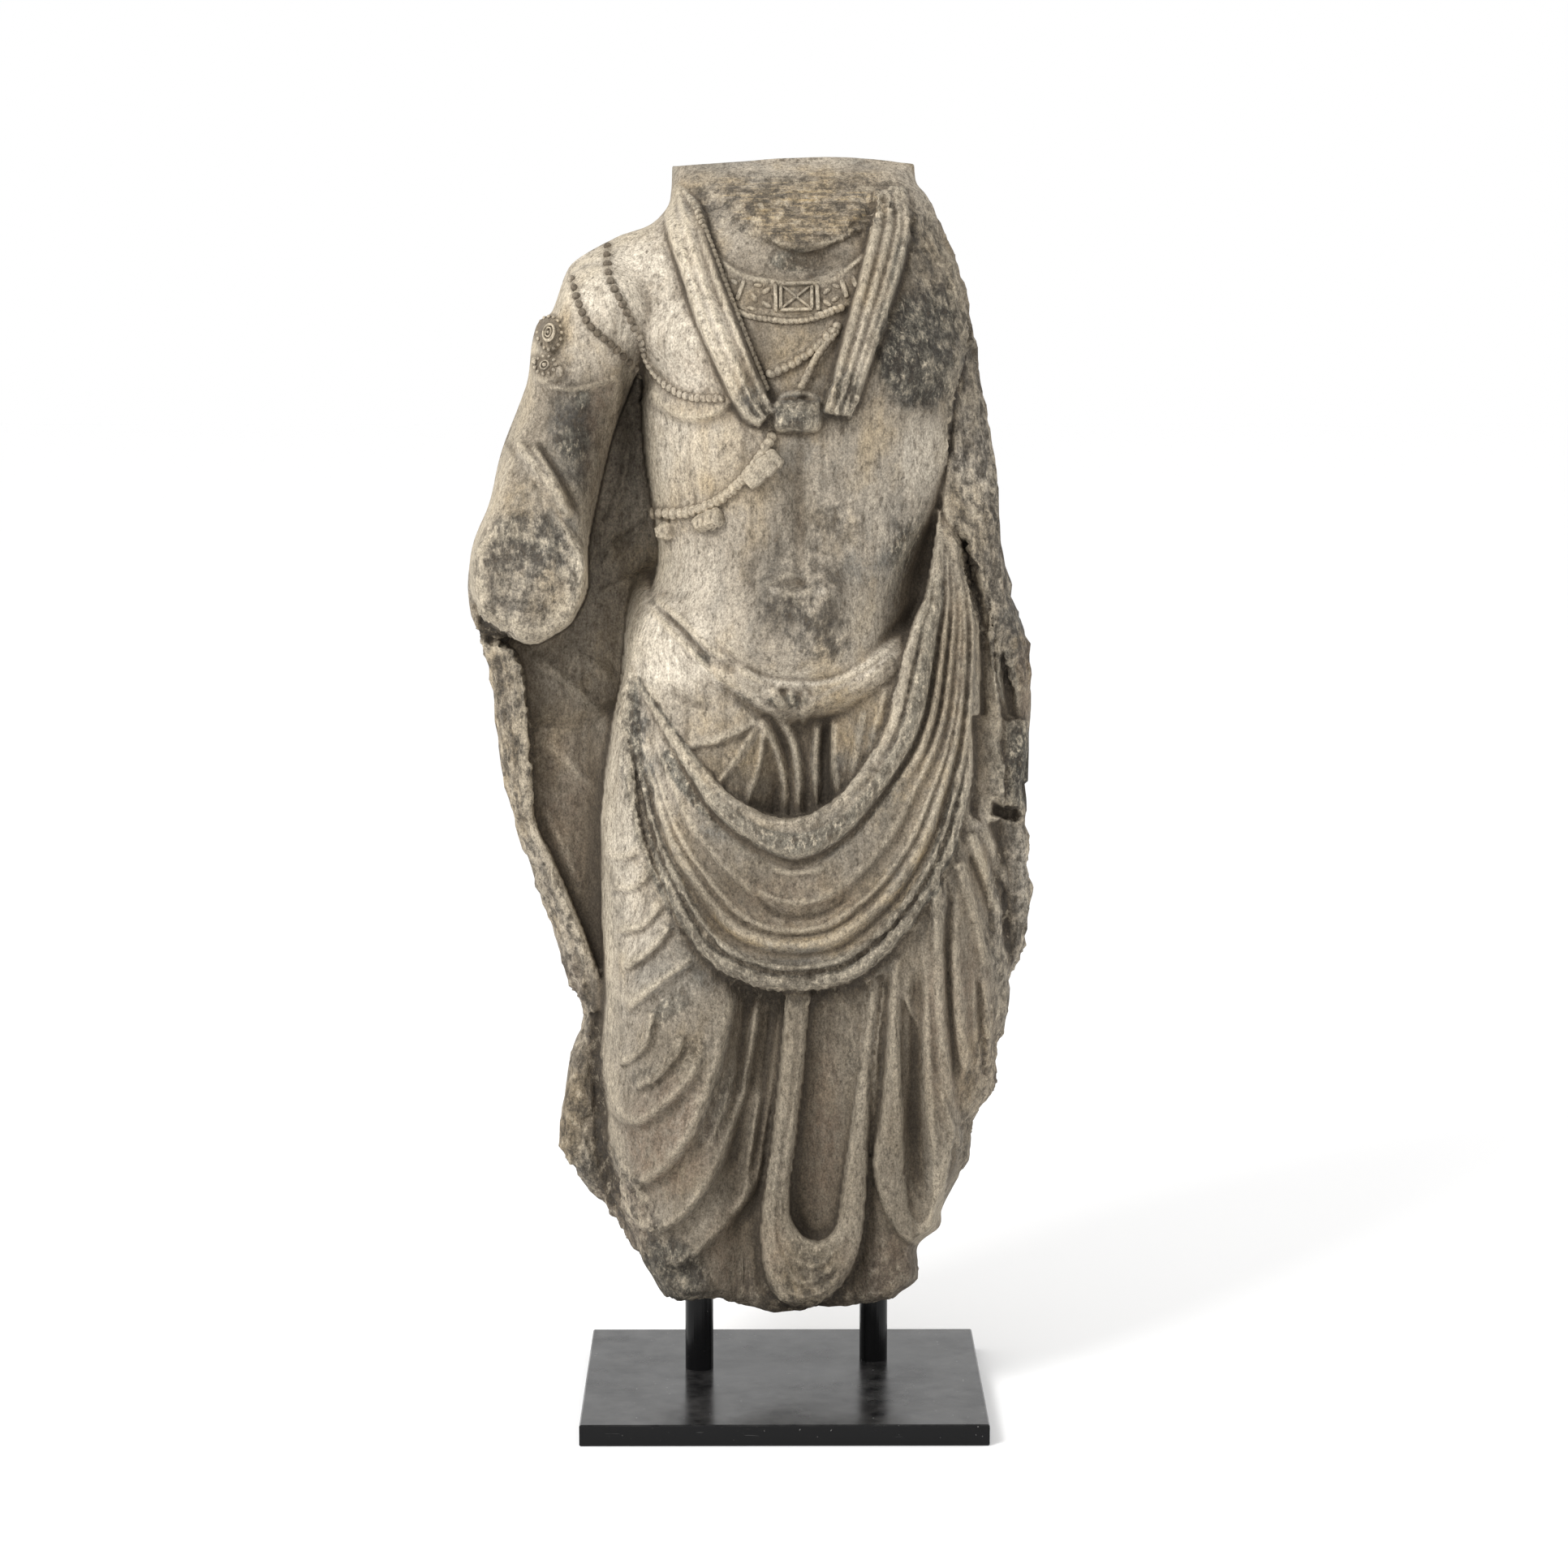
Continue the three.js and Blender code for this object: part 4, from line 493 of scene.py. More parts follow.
# Ribs and grooves: half width, rise, fade in, fade out, path
ribs = [
    (22, -3, 0.2, 0.2, [(985, 540), (983, 600), (984, 690)]),
    (26, -2.5, 0.3, 0.3, [(1075, 560), (1098, 610), (1105, 670)]),
    (30, -2.5, 0.3, 0.3, [(905, 560), (880, 600), (868, 660), (872, 720)]),
    (7, 2.4, 0.3, 0.3, [(952, 727), (980, 733), (1014, 726)]),
    (8, 4, 0.1, 0.1, [(1028, 403), (1000, 425), (970, 446), (944, 459)]),
    (7, 4, 0.1, 0, [(1030, 412), (1008, 445), (985, 482), (982, 490)]),
    (9, 4.5, 0.05, 0.05, [(950, 540), (935, 566), (908, 598), (875, 622), (840, 632), (806, 632)]),
    (4, 2, 0.02, 0.02, [(752, 294), (747, 316), (752, 345), (767, 374), (785, 410), (801, 452), (822, 476),
                        (850, 489), (889, 491)]),
    (4, 1.8, 0.02, 0.02, [(704, 339), (713, 373), (727, 401), (758, 429), (790, 462)]),
    (5, 3, 0.05, 0.1, [(652, 464), (673, 474), (700, 480), (735, 474), (768, 462)]),
    (6, 4.5, 0.1, 0.1, [(950, 502), (962, 490), (984, 484), (1004, 489), (1014, 500)]),
    (5, 2.5, 0.1, 0.1, [(884, 320), (918, 340), (956, 347), (1003, 346), (1046, 328), (1062, 316)]),
    (9, 7, 0.1, 0.1, [(632, 540), (650, 562), (680, 600), (706, 643)]),
    (6, 6, 0.1, 0.1, [(655, 546), (676, 578), (700, 622)]),
    (5, -2, 0.15, 0.1, [(664, 548), (690, 586), (716, 634)]),
    (7, 6, 0.1, 0.1, [(1195, 670), (1214, 724), (1223, 779), (1227, 819), (1235, 878)]),
    (7, 3, 0.1, 0.2, [(799, 642), (770, 662), (744, 681)]),
    (7, 3, 0.1, 0.2, [(793, 706), (765, 718), (736, 731)]),
    (7, 3, 0.1, 0.1, [(776, 520), (768, 590), (748, 648)]),
    (8, 4, 0.1, 0.1, [(900, 812), (923, 830), (950, 840), (980, 844), (1016, 842), (1052, 828),
                      (1090, 802), (1123, 773)]),
    (6, 3.5, 0.15, 0.1, [(796, 744), (829, 780), (861, 812), (880, 832)]),
    (6, 3.5, 0.15, 0.2, [(805, 734), (847, 771), (876, 800), (905, 818)]),
    (5, -3, 0.15, 0.2, [(803, 742), (842, 778), (872, 812)]),
    (16, 8, 0.1, 0.15, [(1128, 768), (1096, 802), (1063, 830), (1030, 850), (1000, 862)]),
    (14, 8, 0.1, 0.15, [(1126, 790), (1098, 820), (1063, 848), (1030, 868), (985, 876)]),
    (13, 7, 0.2, 0.1, [(872, 824), (900, 838), (930, 858), (956, 876)]),
    (11, 7, 0.2, 0.1, [(902, 822), (925, 838), (950, 856), (974, 874)]),
    (9, 5, 0.05, 0.2, [(952, 846), (962, 866), (976, 884), (984, 890)]),
    (9, 5, 0.05, 0.2, [(1008, 846), (1000, 866), (990, 884), (984, 890)]),
    (6, 4, 0.1, 0.2, [(972, 850), (978, 868), (982, 884)]),
    (5, 3.5, 0.1, 0.2, [(994, 850), (990, 868), (985, 884)]),
    (9, 7, 0.08, 0, [(936, 884), (955, 916), (966, 957), (967, 1006)]),
    (10, 8, 0.08, 0, [(950, 868), (973, 904), (983, 941), (984, 1008)]),
    (9, 7, 0.1, 0, [(1008, 888), (1004, 941), (1005, 1000)]),
    (7, -4, 0.1, 0, [(1018, 890), (1017, 941), (1018, 996)]),
    (8, 5, 0.1, 0, [(1028, 884), (1027, 935), (1033, 982)]),
    (9, 4, 0.1, 0, [(1065, 868), (1055, 929), (1050, 966)]),
    (8, 3, 0.1, 0, [(1094, 842), (1080, 890), (1070, 925)]),
    (6, 3.5, 0, 0.1, [(888, 960), (911, 929), (936, 888)]),
    (6, 3.5, 0, 0.1, [(922, 988), (936, 941), (941, 896)]),
    (7, -3, 0.15, 0.2, [(822, 848), (852, 866), (884, 872)]),
    (12, 3.5, 0.2, 0.3, [(652, 806), (700, 842), (750, 893)]),
    (12, 3.0, 0.2, 0.3, [(664, 905), (705, 944), (744, 994)]),
    (10, 3.0, 0.2, 0.3, [(666, 985), (690, 1035), (722, 1104)]),
    (12, 2.5, 0.2, 0.3, [(700, 800), (735, 822), (768, 850)]),
    (9, 2.5, 0.2, 0.3, [(740, 700), (765, 676), (790, 655)]),
    (11, 8, 0.04, 0.12, [(1157, 1080), (1155, 1131), (1156, 1213), (1161, 1278), (1167, 1343),
                         (1178, 1395), (1184, 1425)]),
    (8, -5, 0.1, 0.2, [(1171, 1085), (1168, 1180), (1172, 1278), (1181, 1350)]),
    (10, 5, 0.1, 0.15, [(1176, 1150), (1180, 1213), (1186, 1278), (1196, 1335)]),
    (10, 7, 0.04, 0.12, [(1182, 1060), (1196, 1110), (1208, 1150), (1216, 1195)]),
    (7, -4, 0.1, 0.15, [(1192, 1046), (1212, 1100), (1226, 1160)]),
    (10, 7, 0.04, 0.12, [(1196, 1024), (1208, 1060), (1221, 1094), (1233, 1134)]),
    (8, 5, 0.1, 0.2, [(1210, 1020), (1226, 1050), (1240, 1100)]),
    (7, 5, 0.1, 0.15, [(1214, 1205), (1218, 1260), (1226, 1325)]),
    (6, -5, 0.1, 0.15, [(1205, 1200), (1208, 1270), (1214, 1330)]),
    (10, 5, 0.1, 0.15, [(1105, 1170), (1101, 1254), (1106, 1335), (1110, 1420)]),
    (12, -6, 0.1, 0.15, [(1131, 1190), (1129, 1270), (1127, 1350), (1128, 1416), (1137, 1486)]),
    (9, 4, 0.1, 0.15, [(1142, 1150), (1142, 1250), (1145, 1350), (1150, 1440)]),
    (7, -6, 0.1, 0.15, [(1094, 1192), (1087, 1300), (1080, 1420)]),
    (9, -5, 0.1, 0.15, [(925, 1218), (918, 1280), (905, 1350), (880, 1420)]),
    (7, -4, 0.1, 0.15, [(955, 1225), (945, 1310), (935, 1400), (922, 1460)]),
    (4, -2.5, 0.1, 0.2, [(985, 1226), (978, 1330), (962, 1440), (958, 1520), (972, 1562)]),
    (4, 2.5, 0.2, 0.2, [(966, 1556), (984, 1578), (1010, 1574), (1034, 1550)]),
    (4, 2.5, 0.2, 0.2, [(962, 1578), (986, 1598), (1014, 1590), (1040, 1562)]),
    (4, 2.5, 0.2, 0.2, [(980, 1548), (996, 1560), (1014, 1554), (1030, 1536)]),
    (5, 3, 0.2, 0.2, [(948, 1068), (966, 1074), (1000, 1074), (1022, 1066)]),
    (4, 2.5, 0.2, 0.2, [(930, 1092), (960, 1108), (1000, 1110), (1034, 1098)]),
    (5, -3, 0.2, 0.2, [(918, 1082), (950, 1122), (990, 1130), (1030, 1118), (1050, 1096)]),
]

# Lapping folds: steep run, slow run, rise, fade in, fade out, path
laps = [
    (10, 40, 5, 0.1, 0.25, [(796, 474), (818, 500), (847, 513), (877, 509), (905, 492), (930, 520)]),
    (7, 60, 3.5, 0.15, 0.15, [(870, 772), (902, 800), (925, 818), (953, 829), (998, 833),
                              (1035, 826), (1079, 800), (1112, 772)]),
    (5, 40, 4.5, 0.1, 0.1, [(846, 920), (880, 914), (910, 902), (936, 885)]),
    (5, 16, 4.5, 0.2, 0.1, [(741, 1050), (762, 1056), (790, 1050)]),
    (5, 18, 5.5, 0.2, 0.1, [(750, 1092), (779, 1094), (806, 1071)]),
    (5, 20, 6, 0.2, 0.1, [(755, 1148), (792, 1140), (815, 1112)]),
    (5, 26, 7.5, 0.2, 0.1, [(762, 1196), (798, 1174), (830, 1138)]),
    (10, 26, 6, 0.2, 0.15, [(764, 1246), (813, 1209), (862, 1174)]),
    (6, 16, 6, 0.1, 0.1, [(760, 1308), (776, 1304), (794, 1288), (802, 1262), (806, 1244)]),
    (6, 20, 6, 0.15, 0.1, [(780, 1340), (806, 1328), (832, 1300), (842, 1272)]),
    (11, 26, 8, 0.08, 0.1, [(742, 1300), (754, 1352), (768, 1374), (790, 1378), (816, 1360),
                           (846, 1330), (866, 1290)]),
    (12, 28, 9, 0.08, 0.08, [(742, 1368), (756, 1424), (776, 1452), (798, 1450), (828, 1424),
                             (858, 1376), (884, 1300), (904, 1212)]),
    (12, 30, 9, 0.08, 0.08, [(752, 1444), (776, 1496), (802, 1512), (832, 1502), (862, 1468),
                             (894, 1404), (920, 1310), (934, 1216)]),
    (11, 24, 6.5, 0.1, 0.08, [(812, 1560), (842, 1550), (872, 1528), (914, 1474), (926, 1400),
                           (938, 1330)]),
    (9, 16, 5.5, 0.1, 0.08, [(900, 1500), (924, 1468), (934, 1440), (938, 1400), (956, 1310), (966, 1217)]),
]


def carveFront():
    # The whole carving as a field of heights over the drawing
    columns = np.arange(drawing["left"], drawing["right"] + 1, drawing["step"])
    rows = np.arange(drawing["top"], drawing["bottom"] + 1, drawing["step"])
    relief = Relief(*np.meshgrid(columns, rows))
    x, y = relief.x, relief.y
    relief.h = plainBody(x, y)
    for mound in body["mounds"]:
        relief.mound(*mound)
    relief.h = breakNeck(relief.h, x, y)
    relief.band(cloakEdges["leftOuter"], cloakEdges["leftInner"],
                lambda h, x, y, across, *rest: np.maximum(
                    h, lookup(cloakEdges["leftLevel"], y)
                    + cloakEdges["leftLip"] * hump(across, 0.85, 0.3)
                    - cloakEdges["leftFall"] * clamp(1 - across / 0.6) ** 2))
    relief.h = addArm(relief.h, x, y)
    relief.band(cloakEdges["rightInner"], cloakEdges["rightOuter"],
                lambda h, x, y, across, *rest: lookup(cloakEdges["rightLevel"], y)
                - cloakEdges["rightFall"] * across ** 1.8
                - cloakEdges["rightGroove"] * clamp(1 - across / 0.1))
    carveSide(relief, "gapByBelly")
    relief.band(swag["inner"], swag["outer"], swagShape)
    for name in ("upperHollow", "lowerHole", "sheet", "stump", "underStump"):
        carveSide(relief, name)
    for lap in laps:
        relief.lap(*lap)
    for pleat in pleats:
        relief.band(pleat["outer"], pleat["inner"],
                    lambda h, x, y, across, *rest: lookup(pleat["level"], y)
                    + pleat["roll"] * np.sqrt(clamp(1 - (2 * across - 1) ** 2)))
        edge = curve(pleat["inner"])
        rounded = 3 * np.exp(-nearest(x, y, edge)[0] / 5)
        floor = lookup(pleat["hollow"], y) + rounded + pleat["lean"] * (x - pleat["middle"])
        relief.h = np.where(isInside(x, y, edge), floor, relief.h)
    for strand in chest["strands"]:
        relief.band(strand["outer"], strand["inner"],
                    lambda h, x, y, across, along, fromOuter, fromInner:
                    h + (strand["rise"] - chest["strandStart"] * (1 - ease(0, 0.3, along)))
                    * clamp(fromOuter / chest["strandEdge"]) * clamp(fromInner / chest["strandEdge"])
                    + foldHeights(strand["folds"], across))
    torque = chest["torque"]
    relief.band(chest["torqueOuter"], chest["torqueInner"],
                lambda h, x, y, across, along, fromOuter, fromInner:
                h + torque["rise"] * clamp(fromOuter / torque["edge"]) * clamp(fromInner / torque["edge"])
                + torque["innerRim"] * hump(across, 0.96, 0.1)
                + torque["outerRim"] * hump(across, 0.04, 0.08))
    for mound in body["smallMounds"]:
        relief.mound(*mound)
    for rib in ribs:
        relief.rib(*rib)
    for block in chest["blocks"]:
        relief.block(*block)
    return relief


# Broken and worn places: x, y, half width, half height, turn, strength
brokenPlaces = {
    "neck": (985, 212, 150, 98, 0, 1.0), "elbow": (652, 708, 72, 84, 0, 0.9),
    "leftShoulder": (1172, 350, 52, 170, -8, 1.0), "breast": (1132, 436, 58, 72, 0, 1.0),
    "rightEdge": (1226, 640, 56, 230, -9, 1.0), "rightStump": (1256, 945, 34, 66, 0, 1.0),
    "rightHip": (1254, 1100, 40, 130, 8, 0.9), "rightHem": (1218, 1330, 30, 140, 12, 0.8),
    "underArm": (618, 880, 40, 150, -9, 1.0), "cloakEdge": (672, 1130, 34, 150, -23, 1.0),
    "leftHem": (712, 1340, 38, 110, 0, 0.9), "leftFoot": (748, 1470, 46, 110, -35, 1.0),
    "underside": (960, 1610, 190, 26, 0, 0.9), "footFold": (818, 1570, 60, 50, 20, 0.9),
    "rightStrandEnd": (1036, 500, 26, 40, 0, 0.6), "leftStrandEnd": (936, 500, 26, 40, -20, 0.5),
    "middleBlock": (982, 513, 32, 22, 0, 0.8), "hipEnd": (783, 920, 22, 90, -5, 0.8),
    "pleatEnd": (992, 1585, 56, 40, 0, 0.7), "belly": (985, 770, 60, 56, 0, 0.25),
    "armStain": (706, 540, 30, 70, -15, 0.35), "shin": (1096, 1580, 50, 40, 0, 0.5),
}

# Patches over the stone: x, y, half width, half height, turn, strength. Dark ones are partly real dark
# stains and partly painted shade in gaps, holes and under ledges; light ones are mostly painted highlights
# where the light falls; dull is a darker brown over the lower half and some recesses, partly painted shade;
# blue and ochre are the stone's own colours
stainsAndPaintedLight = {
    # Partly real dark stains, partly painted shade in the gaps by the arm and the belly, in holes and under
    # the neck's stump
    "dark": [(985, 720, 70, 90, 0, 0.75), (1012, 782, 56, 36, 0, 0.85), (1010, 640, 70, 60, 0, 0.5),
             (1140, 430, 70, 90, 0, 0.9),
             (712, 540, 40, 80, -10, 0.9), (700, 590, 30, 60, 0, 0.5), (780, 540, 30, 130, 0, 0.9),
             (760, 640, 40, 60, 0, 0.7), (650, 700, 70, 84, 0, 0.4), (700, 900, 60, 120, 0, 0.45),
             (720, 1060, 40, 140, -20, 0.55), (1005, 322, 60, 26, -8, 0.6), (930, 950, 60, 60, 0, 0.4),
             (1010, 940, 40, 60, 0, 0.5), (1240, 845, 22, 50, -10, 1.0), (1250, 940, 30, 60, 0, 0.7),
             (985, 1090, 150, 60, 0, 0.3), (1010, 1400, 40, 130, 0, 0.45), (1090, 1550, 60, 60, 0, 0.6),
             (1220, 560, 50, 120, 0, 0.35), (1240, 720, 40, 120, 0, 0.5), (790, 1220, 60, 60, 0, 0.3),
             (910, 1340, 40, 160, 8, 0.35), (745, 1250, 26, 60, 0, 0.5), (1130, 660, 40, 50, 0, 0.8),
             (850, 860, 30, 20, 0, 0.2), (640, 860, 40, 90, 0, 0.4), (1130, 700, 60, 140, 20, 0.3)],
    # Painted highlights where the light falls: the left shoulder, the hips and ridges
    "light": [(800, 360, 80, 80, 0, 1.0), (1247, 1110, 24, 100, 8, 1.0), (1204, 580, 28, 90, -8, 0.9),
              (862, 420, 70, 80, 0, 0.8), (830, 560, 50, 70, 0, 0.5),
              (850, 700, 50, 50, 0, 0.5), (816, 800, 70, 70, 0, 1.0), (772, 1010, 34, 150, 0, 1.0),
              (790, 1110, 60, 80, 0, 0.6), (900, 560, 40, 60, 0, 0.3), (1140, 560, 40, 60, 0, 0.7),
              (990, 760, 16, 60, 0, 0.1), (850, 330, 40, 80, 0, 0.7), (1060, 760, 60, 40, 0, 0.3),
              (735, 350, 50, 50, 0, 0.9), (1080, 400, 24, 120, 14, 0.3), (960, 850, 60, 26, 0, 0.4),
              (660, 590, 50, 20, 50, 0.5), (1220, 1010, 26, 18, 0, 0.6), (790, 1380, 70, 90, 0, 0.15)],
    "blue": [(1140, 440, 60, 80, 0, 0.8), (955, 500, 60, 30, 0, 0.9), (1030, 490, 34, 50, 0, 0.8),
             (1050, 960, 90, 90, -30, 0.5), (980, 1040, 90, 24, 0, 0.6), (880, 1000, 60, 40, 30, 0.6),
             (785, 920, 24, 100, -5, 0.8), (1180, 920, 40, 140, 10, 0.35), (960, 1190, 160, 34, 0, 0.6),
             (830, 1090, 30, 90, -20, 0.5), (1130, 1100, 50, 60, 30, 0.5), (1250, 780, 30, 60, 0, 0.7),
             (1252, 940, 30, 66, 0, 0.8), (1245, 1090, 34, 110, 0, 0.35), (820, 1570, 60, 60, 0, 0.7),
             (735, 1450, 40, 60, 0, 0.5), (690, 670, 40, 50, 0, 0.5), (860, 260, 20, 60, -10, 0.4),
             (1070, 690, 40, 40, 0, 0.5), (1000, 560, 60, 30, 0, 0.4), (1110, 640, 30, 60, 0, 0.3),
             (1100, 560, 30, 60, 0, 0.2), (700, 540, 30, 60, 0, 0.3)],
    # A darker brown over the lower half and some recesses, partly painted shade
    "dull": [(985, 1100, 230, 170, 0, 0.75), (1010, 1060, 230, 120, -20, 0.5),
             (850, 1380, 140, 190, 0, 0.7), (1000, 1420, 180, 260, 0, 0.95),
             (1160, 1250, 120, 260, 0, 0.75), (1250, 1100, 70, 260, 0, 0.35),
             (830, 1570, 130, 90, 0, 0.9), (1060, 1580, 150, 80, 0, 0.9), (1010, 930, 110, 110, 0, 0.55),
             (900, 940, 70, 80, 0, 0.5), (700, 940, 90, 260, -14, 0.5), (1000, 650, 170, 150, 0, 0.45),
             (690, 560, 90, 150, 0, 0.5), (1190, 780, 110, 260, 0, 0.6), (970, 440, 70, 70, 0, 0.6),
             (1150, 400, 100, 180, 0, 0.6), (960, 330, 90, 60, 0, 0.4), (1055, 430, 50, 120, 15, 0.35),
             (985, 500, 60, 40, 0, 0.7), (720, 1350, 60, 200, 0, 0.5), (780, 600, 30, 200, 0, 0.7)],
    "ochre": [(985, 262, 90, 46, 0, 0.9), (1030, 215, 90, 24, 0, 0.6), (870, 225, 50, 20, 0, 0.5),
              (650, 690, 60, 60, 0, 0.35), (1050, 880, 60, 60, 0, 0.5), (905, 470, 40, 60, 0, 0.3),
              (900, 930, 70, 60, 0, 0.35), (1190, 640, 40, 60, 0, 0.4), (1262, 820, 20, 60, 0, 0.6),
              (1160, 880, 50, 200, 15, 0.3), (980, 370, 110, 30, 0, 0.45), (940, 1120, 120, 60, 0, 0.3),
              (1070, 1120, 90, 50, -35, 0.5), (1000, 440, 60, 60, 0, 0.4), (820, 1060, 40, 80, 0, 0.3),
              (660, 620, 60, 40, 0, 0.5), (850, 620, 70, 40, -20, 0.35), (870, 505, 60, 20, 0, 0.4),
              (640, 960, 30, 100, 0, 0.4), (1000, 1570, 70, 50, 0, 0.3), (1210, 1320, 30, 120, 0, 0.35)],
}

# Rougher grey places, partly painted shade in holes, gaps and under the neck's stump, rusty places and
# painted shade, as patches and along paths
tints = {
    "slate": [(1112, 425, 42, 80, -6, 1.0), (1142, 466, 44, 34, 0, 0.9), (1152, 400, 40, 70, 0, 0.6),
              (982, 514, 35, 26, 0, 1.1), (1046, 490, 19, 38, 14, 0.95), (1108, 325, 13, 48, 12, 0.8),
              (936, 506, 18, 24, 0, 0.85), (978, 320, 40, 20, 0, 0.75), (708, 545, 26, 28, 0, 0.85),
              (718, 492, 14, 18, 0, 0.75), (650, 668, 68, 44, 10, 0.6), (1252, 945, 32, 66, 0, 0.85),
              (1240, 845, 20, 46, -8, 0.8), (1236, 620, 16, 70, -6, 0.55), (984, 748, 34, 20, 0, 0.3),
              (1010, 642, 44, 26, 0, 0.35), (1120, 676, 26, 40, 25, 0.8), (780, 910, 14, 60, -6, 0.7),
              (826, 1570, 50, 56, 0, 0.7), (725, 1440, 34, 46, 0, 0.5), (1256, 1120, 18, 90, 4, 0.3),
              (850, 1300, 40, 26, -30, 0.5), (1000, 1540, 40, 26, 0, 0.5), (970, 864, 34, 12, 0, 0.75),
              (866, 810, 14, 10, 30, 0.8), (912, 862, 26, 12, 30, 0.6), (830, 1240, 40, 20, -35, 0.6),
              (800, 1330, 30, 24, -30, 0.5), (1128, 1440, 18, 40, 0, 0.5), (950, 1470, 18, 60, 0, 0.5),
              (1052, 1330, 14, 90, -4, 0.45), (876, 1370, 26, 60, 14, 0.5)],
    "rust": [(830, 1400, 70, 90, 0, 0.6), (1010, 1400, 34, 130, 0, 0.55), (760, 1500, 50, 60, 0, 0.5),
             (920, 1540, 60, 70, 0, 0.5), (1180, 1270, 60, 120, 0, 0.4), (700, 1000, 40, 120, -12, 0.45),
             (745, 560, 30, 110, 0, 0.6), (980, 1110, 110, 40, 0, 0.35), (860, 470, 50, 40, 0, 0.2),
             (1080, 1560, 60, 50, 0, 0.5), (1170, 820, 30, 130, 4, 0.3), (1262, 830, 14, 60, 0, 0.7),
             (700, 1230, 24, 60, 0, 0.5), (1230, 1340, 24, 50, 0, 0.5)],
    "shade": [(746, 590, 44, 140, 0, 0.75), (772, 555, 18, 130, 0, 1.0), (716, 560, 40, 90, 0, 0.3),
              (970, 1110, 130, 54, 0, 0.25), (1000, 1420, 230, 230, 0, 0.2), (850, 1570, 110, 60, 0, 0.3),
              (990, 1580, 90, 50, 0, 0.3), (810, 1380, 80, 150, 0, 0.15), (1168, 810, 40, 130, 5, 0.25),
              (1140, 440, 80, 90, 0, 0.2)],
}
# Paths: kind, half width, strength, path. The light paths are painted highlights on ridges, the arm's strap
# and the navel; the dark and shade paths are painted shade in grooves and beside the strands
tintPaths = [
    ("slate", 17, 1.0, [(826, 936), (866, 985), (908, 1016), (950, 1036), (1000, 1038), (1044, 1016),
                        (1076, 984), (1104, 940), (1124, 890), (1138, 830), (1146, 770), (1152, 720)]),
    ("slate", 20, 0.9, [(786, 960), (800, 1030), (828, 1096), (864, 1158), (914, 1192), (971, 1203),
                        (1020, 1198), (1066, 1178), (1118, 1128), (1160, 1060), (1182, 980)]),
    ("slate", 9, 0.9, [(778, 846), (784, 900), (789, 955), (800, 1010)]),
    ("slate", 6, 0.8, [(784, 836), (806, 868), (834, 906), (862, 942)]),
    ("shade", 7, 0.6, [(1018, 890), (1018, 941), (1020, 985)]),
    ("shade", 8, 0.6, [(866, 262), (882, 312), (902, 368), (926, 428), (946, 482)]),
    ("shade", 7, 0.5, [(1126, 262), (1122, 304), (1108, 356), (1074, 460)]),
    ("light", 8, 0.9, [(640, 562), (662, 588), (684, 614), (704, 642)]),
    ("shade", 6, 0.75, [(664, 548), (690, 586), (716, 634)]),
    ("shade", 5, 0.6, [(626, 548), (644, 580), (664, 606)]),
    ("shade", 7, 0.5, [(700, 478), (735, 472), (768, 458)]),
    ("light", 6, 0.9, [(1036, 980), (1070, 940), (1093, 897), (1114, 816), (1127, 768), (1143, 728),
                       (1156, 650)]),
    ("light", 5, 0.6, [(884, 968), (912, 990), (944, 1006), (972, 1011), (1004, 1004), (1036, 980)]),
    ("light", 3.5, 0.9, [(856, 918), (890, 908), (920, 895), (934, 885)]),
    ("light", 3.5, 0.9, [(890, 960), (916, 930), (938, 896)]),
    ("light", 3.5, 0.9, [(925, 984), (936, 951), (941, 904)]),
    ("light", 4, 0.8, [(950, 908), (960, 938), (965, 1000)]),
    ("light", 4, 0.9, [(967, 896), (980, 938), (984, 1002)]),
    ("light", 4, 1.0, [(920, 826), (950, 840), (984, 843), (1018, 840), (1052, 828), (1094, 798),
                       (1120, 772)]),
    ("light", 4, 0.9, [(1001, 863), (1035, 845), (1078, 823), (1120, 786)]),
    ("light", 5, 1.0, [(795, 742), (835, 793), (869, 827), (890, 848)]),
    ("light", 5, 1.0, [(954, 727), (984, 733), (1012, 727)]),
    ("dark", 4, 1.0, [(958, 720), (984, 725), (1008, 720)]),
    ("dark", 3.5, 0.8, [(803, 740), (848, 782), (872, 812)]),
    ("ochre", 8, 0.8, [(840, 1090), (872, 1130), (920, 1156), (971, 1163), (1016, 1158), (1056, 1142),
                       (1110, 1090), (1150, 1020), (1172, 950)]),
]


outline = {
    "left": [(829, 192), (827, 235), (822, 256), (800, 278), (760, 292), (711, 320), (695, 342),
             (680, 384), (664, 396), (655, 425), (648, 475), (618, 555), (603, 620), (582, 675),
             (578, 745), (600, 820), (614, 920), (629, 995), (652, 1062), (680, 1140), (700, 1205),
             (716, 1235), (716, 1270), (703, 1305), (690, 1395), (693, 1420), (725, 1460),
             (775, 1524), (800, 1575), (820, 1604)],
    "right": [(1126, 192), (1129, 224), (1147, 250), (1185, 340), (1193, 380), (1215, 500),
              (1222, 550), (1244, 720), (1267, 800), (1270, 885), (1263, 1000), (1269, 1040),
              (1264, 1070), (1270, 1100), (1262, 1160), (1246, 1200), (1242, 1250), (1229, 1290),
              (1228, 1335), (1197, 1380), (1190, 1430), (1161, 1485), (1157, 1510), (1130, 1535),
              (1131, 1580), (1100, 1604)],
    "top": [(829, 205), (870, 202), (914, 199), (968, 195), (1044, 194), (1126, 202)],
    "bottom": [(800, 1590), (842, 1603), (877, 1598), (927, 1610), (956, 1617), (985, 1614),
               (1012, 1609), (1057, 1607), (1110, 1596)],
    "firstRow": 200, "lastRow": 1604,
}


